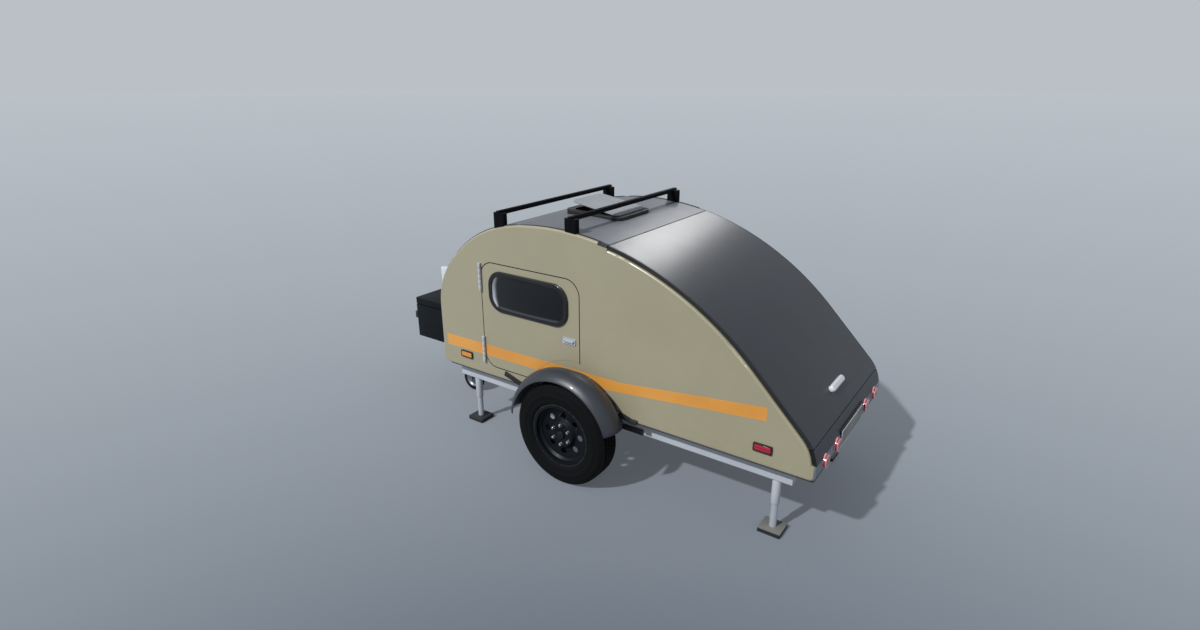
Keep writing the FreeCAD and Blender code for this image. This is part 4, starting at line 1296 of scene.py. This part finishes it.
@dataclass
class Door(Assembly):
    """A side door with its window and handle."""

    side: Side
    plate_thick: float = 0.007
    plate_corner: float = 0.011
    plate_rim: float = 0.0035
    dish_step: float = 0.0018
    dish_deep: float = 0.0025
    pull_foot: float = 0.0035
    pull_ends: float = 0.010
    pull_under: float = 0.011
    pull_over: float = 0.009
    pull_taper: Spot = (0.9, 1.0, 0.62)
    pull_corner: float = 0.006
    screw_in: float = 0.006
    screw_seat: float = 0.0042
    screw_radius: float = 0.0026
    screw_height: float = 0.0028

    def model(self) -> None:
        """Dress the door, and model a light handle whose pull stands over a finger dish."""
        word, out = self.side.word, self.side.value
        for node, finish in (("door", CREAM), ("door_window_frame", FRAME_BLACK),
                             ("door_pane", SMOKED)):
            self.coat(f"{node}_{word}", finish)
        body, node = f"door_{word}_body", f"door_handle_{word}"
        low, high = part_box(node)
        foot, face = (low.y, high.y)[::out]
        plate = Bench.block(f"handle_plate_{word}", (low.x, foot, low.z),
                            (high.x, foot + out * self.plate_thick, high.z))
        with Bench.editing(plate):
            Bench.round_corners(plate, self.plate_corner, 5)
            Bench.pick_facing(plate, (0, out, 0))
            bpy.ops.mesh.inset(thickness=self.plate_rim)
            bpy.ops.mesh.inset(thickness=self.dish_step, depth=-self.dish_deep)
        self.fit(Bench.soften(plate, 0.0009), LIGHT_GREY, "frame_grey", body, [node])
        pull = Bench.block(f"handle_pull_{word}",
                           (low.x + self.pull_ends, foot + out * self.pull_foot,
                            low.z + self.pull_under),
                           (high.x - self.pull_ends, face, high.z - self.pull_over))
        with Bench.editing(pull):
            Bench.pick_facing(pull, (0, out, 0))
            bpy.ops.transform.resize(value=self.pull_taper)
            Bench.round_corners(pull, self.pull_corner, 4)
        self.fit(Bench.soften(pull, 0.0016, 3), LIGHT_GREY, "frame_grey", body)
        screws = [screw(f"handle_screw_{number}",
                        Vector((place, foot + out * self.screw_seat, (low.z + high.z) / 2)),
                        Vector((0, out, 0)), self.screw_radius, self.screw_height)
                  for number, place in enumerate((low.x + self.screw_in,
                                                  high.x - self.screw_in))]
        self.fit(Bench.join(f"handle_screws_{word}", screws), STEEL, "hub_steel", body)


def screw(name: str, spot: Vector, out: Vector, radius: float, height: float) -> Piece:
    """A domed screw head with a round recess.

    Args:
        name: the piece's name.
        spot: the middle of its foot.
        out: the way that it faces.
        radius: its radius.
        height: how far it stands out.

    Returns:
        The screw head.
    """
    head = Bench.rod(name, radius, spot, spot + out * height, 14)
    with Bench.editing(head):
        Bench.pick_facing(head, out)
        for step, lift in ((0.3, 0.12), (0.25, -0.35)):
            bpy.ops.mesh.inset(thickness=radius * step)
            bpy.ops.transform.translate(value=out * height * lift)
    return Bench.soften(head)


@dataclass
class Hinges(Assembly):
    """The two hinges of each door: five knuckles and a pin."""

    knuckles: int = 5
    slit: float = 0.0005
    length: float = 0.202
    knuckle_share: float = 0.985
    pin_share: float = 0.62

    def model(self) -> None:
        """Model one hinge, and copy it to the four places."""
        low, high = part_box("door_hinges")
        radius = (high.x - low.x) / 2
        foot = Vector(((low.x + high.x) / 2, WALL + radius, low.z))
        pitch = self.length / self.knuckles

        def bar(name: str, share: float, start: float, end: float, sides: int) -> Piece:
            """A bar on the hinge's line, with a share of its radius and a slit at each end."""
            return Bench.rod(name, radius * share, foot + Vector((0, 0, start)),
                             foot + Vector((0, 0, end)), sides)

        parts = [Bench.soften(bar(f"knuckle_{number}", self.knuckle_share,
                                  number * pitch + self.slit / 2,
                                  (number + 1) * pitch - self.slit / 2, 28), 0.0009)
                 for number in range(self.knuckles)]
        pin = bar("hinge_pin", self.pin_share, self.slit, self.length - self.slit, 20)
        hinge = Bench.join("door_hinge", [*parts, Bench.soften(pin, 0.001)])
        rise = high.z - self.length - low.z
        copies = [Bench.copy(hinge, f"hinge_{name}_{side.word}",
                             Matrix.Diagonal((1, side.value, 1, 1))
                             @ Matrix.Translation((0, 0, lift)))
                  for side in Side for name, lift in (("lower", 0.0), ("upper", rise))]
        bpy.data.objects.remove(hinge)
        for piece in copies:
            self.fit(Bench.soften(piece), RAIL_WHITE, "frame_grey",
                     stands_for=["door_hinges"] if piece is copies[0] else ())


@dataclass
class Hatch(Assembly):
    """The long rear hatch with its side trims, hinge and capsule handle."""

    coats: ClassVar = {"hatch_panel": GRAPHITE, "hatch_trims": SEAL, "hatch_hinge": SEAL}
    refits: ClassVar = {"hatch_handle": (WHITE, 0.0028, 4)}


@dataclass
class Wheel(Assembly):
    """A road wheel: tyre with tread blocks, drilled rim, hub, cap and nuts."""

    side: Side
    pitches: int = 72
    groove: float = 0.007
    ribs: ClassVar = ((-0.056, 0.020, 0.0), (-0.029, 0.024, 0.5), (0.0, 0.024, 0.0),
                      (0.029, 0.024, 0.5), (0.056, 0.020, 0.0))
    side_rings: ClassVar = (0.263, 0.306)
    ring_half: float = 0.013
    ring_step: float = 0.003
    ring_press: float = 0.0012
    block_share: float = 0.93
    block_root: float = 0.004
    block_taper: Spot = (0.97, 0.95, 1.0)
    block_bevel: float = 0.0012
    crown_drop: float = 0.0009
    edge_drop: float = 0.0022
    valve_radius: float = 0.0052
    valve_foot: tuple[float, float] = (0.034, 0.155)
    valve_reach: tuple[float, float] = (0.034, -0.010)
    bead: float = 0.204
    seat: float = 0.047
    nut_count: int = 6
    nut_circle: float = 0.070
    hub: Vector = field(init=False)
    outer: float = field(init=False)
    half: float = field(init=False)
    body: str = field(init=False)
    rubber: Finish = field(init=False)

    def __post_init__(self) -> None:
        """Take the wheel's place and size from its packed tyre."""
        low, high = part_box(f"tyre_{self.side.word}")
        self.hub, self.outer, self.half = (low + high) / 2, high.z / 2, (high.y - low.y) / 2
        self.body = f"wheel_{self.side.word}_body"
        self.rubber = Rubber(f"tyre_rubber_{self.side.word}", tone(8, 9, 11), tone(15, 15, 16),
                             tuple(self.hub), self.outer)

    def model(self) -> None:
        """Model the tyre, the hub, the nuts and the valve round a refined rim."""
        self.tyre()
        self.tread()
        self.rim()
        self.turned_hub()
        self.nuts()

    def section(self) -> list[tuple[float, float]]:
        """A tyre's cross-section: beads, bulging sides and round shoulders.

        Returns:
            Its points as (radius, place along the axis).
        """
        top, shoulder = self.outer - self.groove, self.outer - self.groove - 0.010
        side = [(self.bead, 0.062), (self.bead + 0.010, 0.069), (self.bead + 0.019, 0.078),
                (self.bead + 0.030, 0.087), (self.bead + 0.048, self.half - 0.0035),
                (self.bead + 0.070, self.half - 0.0006), (self.bead + 0.092, self.half - 0.0016),
                (self.bead + 0.112, self.half - 0.0060), (shoulder - 0.012, self.half - 0.0120),
                (shoulder, self.half - 0.0200), (top, self.half - 0.0310)]
        return mirrored(side)

    def tyre(self) -> None:
        """The carcass by the lathe, with rings pressed into its sides."""
        carcass = Bench.lathe(f"tyre_carcass_{self.side.word}", self.section(), self.hub,
                              steps=120)
        with Bench.editing(carcass):
            for ring in self.side_rings:
                Bench.pick_faces(carcass, lambda centre, normal, ring=ring:
                                 abs((centre - self.hub).xz.length - ring) < self.ring_half
                                 and abs(normal.y) > 0.6)
                bpy.ops.mesh.inset(thickness=self.ring_step, depth=-self.ring_press)
        self.fit(Bench.soften(carcass, smooth=38), self.rubber, "tyre", self.body,
                 [f"tyre_{self.side.word}"])

    def tread(self) -> None:
        """Five ribs of bevelled blocks, staggered from rib to rib."""
        pitch = 2 * math.pi / self.pitches
        half_long = self.outer * pitch * self.block_share / 2
        rows = []
        for number, (offset, width, lag) in enumerate(self.ribs):
            outermost = number in (0, len(self.ribs) - 1)
            top = self.outer - self.crown_drop - (self.edge_drop if outermost else 0.0)
            top = math.sqrt(top ** 2 - half_long ** 2)
            block = Bench.block(f"tread_block_{number}", self.hub
                                + Vector((-half_long, offset - width / 2,
                                          top - self.groove - self.block_root)),
                                self.hub + Vector((half_long, offset + width / 2, top)))
            with Bench.editing(block):
                Bench.pick_facing(block, (0, 0, 1))
                bpy.ops.transform.resize(value=self.block_taper)
                bpy.ops.mesh.inset(thickness=self.block_bevel)
            rows.append(Bench.ring(f"tread_rib_{number}", block, self.pitches, self.hub,
                                   lag * pitch))
        tread = Bench.join(f"tyre_tread_{self.side.word}", rows)
        self.fit(Bench.soften(tread, smooth=30), self.rubber, "tyre", self.body)

    def rim(self) -> None:
        """The rim, refined, and its valve."""
        word, out = self.side.word, self.side.value
        low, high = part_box(f"rim_{word}")
        self.refit(f"rim_{word}",
                   RimCoat(f"rim_enamel_{word}", tone(13, 18, 23), tone(24, 27, 31),
                           tone(120, 126, 132), tuple(self.hub), (high.z - low.z) / 2), 0.0012)
        foot, reach = (Vector((0, out * across, rise))
                       for across, rise in (self.valve_foot, self.valve_reach))
        foot += self.hub
        stem = Bench.rod(f"valve_{word}", self.valve_radius, foot, foot + reach, 16)
        with Bench.editing(stem):
            Bench.pick_facing(stem, (0, out, 0), 0.8)
            bpy.ops.mesh.inset(thickness=0.0014)
            bpy.ops.mesh.extrude_region_move(
                TRANSFORM_OT_translate={"value": (0, out * 0.004, 0)})
        self.fit(Bench.soften(stem, 0.0007), SEAL, "tyre", self.body)

    def turned_hub(self) -> None:
        """A turned hub with a domed cap."""
        word, out = self.side.word, self.side.value
        low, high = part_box(f"wheel_hub_{word}")
        inner = out * ((low.y, high.y)[::out][0] - self.hub.y)
        seat = self.seat
        barrel = [(0.026, inner), (0.040, inner), (0.052, inner + 0.006), (0.052, seat - 0.030),
                  (0.061, seat - 0.022), (0.061, seat), (0.0282, seat), (0.0282, seat + 0.014),
                  (0.0262, seat + 0.0205), (0.020, seat + 0.0230), (0.010, seat + 0.0238),
                  (0.002, seat + 0.0240), (0.002, seat + 0.012), (0.024, seat + 0.010),
                  (0.024, inner + 0.010)]
        piece = Bench.lathe(f"hub_{word}", [(radius, out * place) for radius, place in barrel],
                            self.hub, steps=56)
        self.fit(Bench.soften(piece, 0.0006), HUB_DARK, "hub_steel", self.body,
                 [f"wheel_hub_{word}"])

    def nuts(self) -> None:
        """Six six-sided nuts on washers."""
        out = self.side.value
        base = self.hub + Vector((0, out * (self.seat + 0.008), self.nut_circle))

        def bar(name: str, radius: float, start: float, end: float, sides: int) -> Piece:
            """A bar on the nut's line, between two distances out from its seat."""
            return Bench.rod(name, radius, base + Vector((0, out * start, 0)),
                             base + Vector((0, out * end, 0)), sides)

        washer = bar("washer", 0.0118, 0.0, 0.0026, 24)
        nut = bar("nut", 0.0108, 0.0024, 0.0165, 6)
        with Bench.editing(nut):
            Bench.pick_facing(nut, (0, out, 0))
            for step, lift in ((0.0022, 0.0018), (0.0020, 0.0008)):
                bpy.ops.mesh.inset(thickness=step)
                bpy.ops.transform.translate(value=(0, out * lift, 0))
        nut = Bench.join("wheel_nut", [Bench.soften(nut, 0.0005), Bench.soften(washer, 0.0005)])
        nuts = Bench.ring(f"wheel_nuts_{self.side.word}", nut, self.nut_count, self.hub)
        self.fit(nuts, STEEL, "hub_steel", self.body)


@dataclass
class Fenders(Assembly):
    """The moulded fenders with their stays, and the screws along the inside of each."""

    refits: ClassVar = {"fenders": (FENDER_SKIN, 0.0018), "fender_stays": (CHASSIS, 0.0012)}
    screws: int = 7
    first_turn: float = 22.0
    spread: float = 128.0
    inside: float = 0.3916
    from_wall: float = 0.017
    screw_radius: float = 0.006
    screw_height: float = 0.0035

    def model(self) -> None:
        """Set a row of screws under each fender."""
        for side in Side:
            heads = []
            for number in range(self.screws):
                turn = math.radians(self.first_turn + self.spread * number / (self.screws - 1))
                out = Vector((math.cos(turn), 0, math.sin(turn)))
                spot = Vector((AXLE.x, side.value * (WALL + self.from_wall), AXLE.z)) \
                    + out * self.inside
                heads.append(screw(f"fender_screw_{number}", spot, out, self.screw_radius,
                                   self.screw_height))
            self.fit(Bench.join(f"fender_screws_{side.word}", heads), ZINC, "hub_steel")


@dataclass
class Legs(Assembly):
    """The four corner legs: outer tubes, and inner tubes on foot pads."""

    refits: ClassVar = {"leg_sleeves": (RAIL_GREY, 0.0018), "leg_feet": (PADS, 0.0022)}


@dataclass
class Lamps(Assembly):
    """Tail lamps, side markers, front lamps and the blank plate."""

    refits: ClassVar = {"front_lamps": (CLEAR_LENS, 0.006, 4),
                        "number_plate": (PLATE_WHITE, 0.0012), "plate_holder": (SEAL, 0.0012)}
    seat: float = 0.0052
    lamp_places: tuple[float, ...] = (0.515, 0.300, -0.300, -0.515)
    marker_corner: float = 0.006
    marker_frame: float = 0.0065
    marker_step: float = 0.0006
    marker_dip: float = 0.003
    lens_in: float = 0.0072
    lens_foot: float = 0.004
    lens_corner: float = 0.003
    screw_places: tuple[float, float] = (-0.150, 0.150)
    screw_lift: float = 0.02
    screw_sunk: float = 0.0006
    screw_radius: float = 0.006
    screw_height: float = 0.0022

    def model(self) -> None:
        """Model each lamp as a base with a lens, and screw the plate on."""
        self.tail_lamps()
        self.markers("side_markers_amber", AMBER_LENS, "lamp_amber")
        self.markers("side_markers_red", RED_LENS, "lamp_red")
        low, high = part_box("number_plate")
        screws = [screw(f"plate_screw_{number}",
                        Vector((low.x + self.screw_sunk, place,
                                (low.z + high.z) / 2 + self.screw_lift)),
                        Vector((-1, 0, 0)), self.screw_radius, self.screw_height)
                  for number, place in enumerate(self.screw_places)]
        self.fit(Bench.join("plate_screws", screws), ZINC, "hub_steel")

    def tail_lamps(self) -> None:
        """Four round lamps: a pale rim round a red lens, with a bulls-eye in the middle."""
        low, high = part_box("tail_lamps")
        radius, deep, seat = (high.z - low.z) / 2, high.x - low.x, self.seat
        base = [(radius - 0.006, 0.0), (radius, 0.0), (radius, -seat - 0.0025),
                (radius - 0.0015, -seat - 0.004), (radius - 0.006, -seat - 0.004)]
        face = [(radius - 0.0150, -deep * 0.82), (radius - 0.0024, -deep * 0.82),
                (radius - 0.0022, -deep * 0.88), (radius - 0.0062, -deep * 0.985),
                (radius - 0.0130, -deep), (radius - 0.0150, -deep * 0.97)]
        glass = [(0.0008, 0.0), (radius - 0.0062, 0.0), (radius - 0.0062, -seat - 0.0042),
                 (radius - 0.0024, -seat - 0.0045), (radius - 0.0026, -deep * 0.815),
                 (radius - 0.0152, -deep * 0.815), (radius - 0.0160, -deep * 0.95),
                 (0.0160, -deep * 0.985), (0.0148, -deep * 0.93), (0.0120, -deep * 0.93),
                 (0.0108, -deep * 0.985), (0.0050, -deep), (0.0008, -deep)]
        middle = Vector((high.x, 0, (low.z + high.z) / 2))
        base, face, lens = (Bench.lathe(name, line, middle, "x", 48) for name, line in
                            (("lamp_base", base), ("lamp_face", face), ("lamp_lens", glass)))
        shifts = [Matrix.Translation((0, place, 0)) for place in self.lamp_places]
        for name, piece, finish, nodes in (
                ("tail_lamp_rims", Bench.join("tail_lamp_rim", [base, face]), LAMP_RIM, ()),
                ("tail_lamp_lenss", lens, RED_LENS, ["tail_lamps"])):
            lamps = Bench.soften(Bench.array(name, piece, shifts), smooth=30)
            self.fit(lamps, finish, "lamp_red", stands_for=nodes)

    def markers(self, node: str, finish: Finish, slot: str) -> None:
        """A marker lamp on each wall: a lens in a black base with a raised frame.

        Args:
            node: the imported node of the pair.
            finish: the lens's finish.
            slot: the lens's slot.
        """
        low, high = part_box(node)
        for side in Side:
            out, rim = side.value, self.lens_in
            base = Bench.block(f"{node}_base_{side.word}", (low.x, out * WALL, low.z),
                               (high.x, out * high.y, high.z))
            with Bench.editing(base):
                Bench.round_corners(base, self.marker_corner, 4)
                Bench.pick_facing(base, (0, out, 0))
                bpy.ops.mesh.inset(thickness=self.marker_frame)
                bpy.ops.mesh.inset(thickness=self.marker_step, depth=-self.marker_dip)
            self.fit(Bench.soften(base, 0.0009), SEAL, "trim_black",
                     stands_for=[node] if side is Side.LEFT else ())
            lens = Bench.block(f"{node}_lens_{side.word}",
                               (low.x + rim, out * (WALL + self.lens_foot), low.z + rim),
                               (high.x - rim, out * high.y, high.z - rim))
            with Bench.editing(lens):
                Bench.round_corners(lens, self.lens_corner, 3)
            self.fit(Bench.soften(lens, 0.0022, 3), finish, slot)


@dataclass
class Chassis(Assembly):
    """Rails, axle, drawbar, coupler and the jockey wheel."""

    refits: ClassVar = {"side_rails": (RAIL_WHITE, 0.0025), "crossmembers": (RAIL_GREY, 0.0020),
                        "drawbar": (CHASSIS, 0.0025), "coupler": (CHASSIS, 0.0018),
                        "axle_plates": (CHASSIS, 0.0015), "axle": (CHASSIS, 0.0015),
                        "jockey_clamp": (ZINC, 0.0012), "jockey_fork": (ZINC, 0.0012)}

    def model(self) -> None:
        """Turn the jockey wheel: a solid tyre on a dished steel wheel."""
        low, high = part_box("jockey_wheel")
        hub = (low + high) / 2
        radius, half = (high.z - low.z) / 2, (high.y - low.y) / 2
        line = [(0.64, 0.66), (0.66, 0.86), (0.74, 1.0), (0.88, 0.98), (0.96, 0.76), (1.0, 0.36)]
        dish = [(0.0115 / radius, 0.98), (0.20, 0.98), (0.24, 0.60), (0.52, 0.34), (0.61, 0.72),
                (0.655, 0.80)]
        tyre, rim = (Bench.lathe(name, mirrored([(far * radius, place * half)
                                                 for far, place in shares]), hub, steps=steps)
                     for name, shares, steps in (("jockey_tyre", line, 64),
                                                 ("jockey_rim", dish, 48)))
        rubber = Rubber("jockey_rubber", tone(22, 23, 25), tone(44, 44, 45), tuple(hub), radius)
        self.fit(Bench.soften(tyre, smooth=40), rubber, "tyre", "jockey_wheel_body",
                 ["jockey_wheel"])
        self.fit(Bench.soften(rim, 0.0006, smooth=40), ZINC, "galvanised", "jockey_wheel_body")


@dataclass
class Toolbox(Assembly):
    """The steel box on the drawbar and its lid."""

    refits: ClassVar = {"toolbox": (BOX_BLACK, 0.0025, 3), "toolbox_lid": (BOX_BLACK, 0.0035, 3)}


@dataclass
class RoofGear(Assembly):
    """The crossbars and the roof vent, with ribs on its lid."""

    refits: ClassVar = {"crossbar_front": (BAR_BLACK, 0.0035, 3),
                        "crossbar_rear": (BAR_BLACK, 0.0035, 3), "vent_frame": (SEAL, 0.003, 3),
                        "vent_lid": (VENT_SHEET, 0.0025, 3)}
    ribs: int = 9
    tilt: float = math.radians(9.2)
    thick: float = 0.010
    rib_half: float = 0.004
    rib_rise: float = 0.0028
    rib_sunk: float = 0.001
    rib_taper: Spot = (0.985, 0.55, 1.0)
    rib_ends: tuple[float, float] = (0.028, 0.030)
    rib_margin: float = 0.030

    def model(self) -> None:
        """Stiffening ribs along the tilted lid, copied across it from one."""
        low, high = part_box("vent_lid")
        lean = self.thick * math.sin(self.tilt)
        long = (high.x - low.x - lean) / math.cos(self.tilt)
        turn = Matrix.Translation((low.x + lean, 0, low.z)) \
            @ Matrix.Rotation(-self.tilt, 4, "Y")
        rib = Bench.block("lid_rib", (self.rib_ends[0], -self.rib_half, self.thick - self.rib_sunk),
                          (long - self.rib_ends[1], self.rib_half, self.thick + self.rib_rise))
        with Bench.editing(rib):
            Bench.pick_facing(rib, (0, 0, 1))
            bpy.ops.transform.resize(value=self.rib_taper)
        spread = (high.y - low.y) / 2 - self.rib_margin
        shifts = [turn @ Matrix.Translation((0, spread * (2 * number / (self.ribs - 1) - 1), 0))
                  for number in range(self.ribs)]
        ribs = Bench.array("vent_lid_ribs", Bench.soften(rib, 0.0007), shifts)
        self.fit(ribs, VENT_SHEET, slot_of("vent_lid"), "vent_lid_body")


@dataclass
class Studio:
    """A pale blue-grey floor with painted shade round where the camera stands, the lamps and the
    camera.
    """

    stand: Spot = (-2.838, 3.918, 2.641)
    heading: float = math.radians(-54.99)
    dip: float = math.radians(20.08)
    lens: float = 20.27
    floor_radius: float = 90.0
    # The floor's glow is painted light that lifts its shadows.
    glow: float = 0.26
    # The floor's painted shade: darker near the camera's stand, paling with distance.
    far_tone: Spot = (188.5, 194.4, 200.1)
    fall: Spot = (216.6, 211.0, 194.8)
    haze: float = 0.3
    nearest: float = 2.65
    rounds: int = 20
    growth: float = 1.203
    paleness: float = 1.02
    sky_colour: Colour = (0.94, 0.97, 1.0)
    sky_power: float = 0.43
    sun_way: Spot = (0.203, 0.709, 0.676)
    sun_power: float = 2.65
    sun_width: float = math.radians(2.0)
    lamp_way: Spot = (0.255, -0.82, 0.51)
    lamp_aim: Spot = (-0.73, 0.32, 1.61)
    lamp_far: float = 7.0
    lamp_size: float = 1.8
    lamp_power: float = 128.0

    def build(self) -> None:
        """Set the floor, the light and the camera."""
        self.floor()
        self.sky()
        self.lights()
        self.camera()

    def floor_tone(self, far: float) -> Colour:
        """The floor's colour, with its painted shade, at a distance from the foot of the camera's
        stand.
        """
        return tone(*(top - fall / (far + self.haze)
                      for top, fall in zip(self.far_tone, self.fall)))

    def floor(self) -> None:
        """A wide floor with painted shade, darkest where the camera stands and paling with
        distance, and a glow of painted light that lifts its shadows.
        """
        Bench.clear()
        bpy.ops.mesh.primitive_circle_add(vertices=96, radius=self.floor_radius,
                                          fill_type="NGON")
        floor = bpy.context.object
        floor.name = "floor"
        board = Board(bpy.data.materials.new("floor_grey"))
        far = board.radius(Vector(self.stand), "z")
        shade: Paint = self.floor_tone(self.nearest)
        for step in range(1, self.rounds):
            start, end = (self.nearest * self.growth ** power for power in (step - 1, step))
            mask = board.add("ShaderNodeMapRange", {"clamp": True},
                             {"Value": far, "From Min": start, "From Max": end})
            shade = board.blend(mask, shade, self.floor_tone(end))
        # The glow is painted light: emission that lifts the floor's shadows.
        lit = board.blend(self.paleness - self.glow, (0.0, 0.0, 0.0), shade)
        floor.data.materials.append(board.close(
            {"Base Color": lit, "Roughness": 0.9, "Specular IOR Level": 0.0,
             "Emission Color": shade, "Emission Strength": self.glow}))

    def sky(self) -> None:
        """A plain even sky: the light on one side, the seen backdrop on the other."""
        world = bpy.data.worlds.new("studio_sky")
        board = Board(world)
        camera, glossy, clear = (board.add("ShaderNodeLightPath", output=f"Is {kind} Ray")
                                 for kind in ("Camera", "Glossy", "Transmission"))
        light = board.add("ShaderNodeBackground",
                          inputs={"Color": self.sky_colour, "Strength": self.sky_power})
        backdrop = board.add("ShaderNodeBackground", inputs={"Color": tone(187, 192, 198)})
        mix = board.add("ShaderNodeMixShader",
                        inputs={0: camera.most(glossy).most(clear), 1: light, 2: backdrop})
        board.add("ShaderNodeOutputWorld", inputs={"Surface": mix})
        bpy.context.scene.world = world

    def lights(self) -> None:
        """One sun high on the left, and a soft lamp on the far side that only glosses mirror."""
        sun = self.light("SUN", "sun", self.sun_power, Vector(self.sun_way), Vector())
        sun.data.angle = self.sun_width
        way = Vector(self.lamp_way).normalized()
        lamp = self.light("AREA", "soft_lamp", self.lamp_power, way,
                          Vector(self.lamp_aim) + way * self.lamp_far)
        lamp.data.shape = "RECTANGLE"
        lamp.data.size = lamp.data.size_y = self.lamp_size
        lamp.visible_diffuse = False

    def light(self, kind: str, name: str, power: float, way: Vector, spot: Vector) -> Piece:
        """Add a light.

        Args:
            kind: its type.
            name: its name.
            power: its energy.
            way: the way from what it lights to the light.
            spot: its place.

        Returns:
            The light.
        """
        Bench.clear()
        bpy.ops.object.light_add(type=kind, location=spot)
        light = bpy.context.object
        light.name = name
        light.data.energy = power
        light.rotation_euler = way.to_track_quat("Z", "Y").to_euler()
        return light

    def camera(self) -> None:
        """A wide lens that looks down on the left rear quarter."""
        look = Vector((math.cos(self.heading) * math.cos(self.dip),
                       math.sin(self.heading) * math.cos(self.dip), -math.sin(self.dip)))
        Bench.clear()
        bpy.ops.object.camera_add(location=self.stand,
                                  rotation=look.to_track_quat("-Z", "Y").to_euler())
        camera = bpy.context.object
        camera.name = "camera"
        camera.data.sensor_width = 36.0
        camera.data.lens = self.lens
        camera.data.clip_end = 300.0
        bpy.context.scene.camera = camera


def main() -> None:
    """Build every sub-assembly and the studio round it."""
    logging.basicConfig(level=logging.INFO, format="%(name)s: %(message)s")
    bpy.context.scene.view_settings.view_transform = "Standard"
    Studio().build()
    assemblies = [Shell(), *(Door(side) for side in Side), Hinges(), Hatch(),
                  *(Wheel(side) for side in Side), Fenders(), Legs(), Lamps(), Chassis(),
                  Toolbox(), RoofGear()]
    for assembly in assemblies:
        assembly.build()
        for piece in assembly.pieces:
            log.info("%s: %s", type(assembly).__name__, piece.name)


if __name__ == "__main__":
    main()
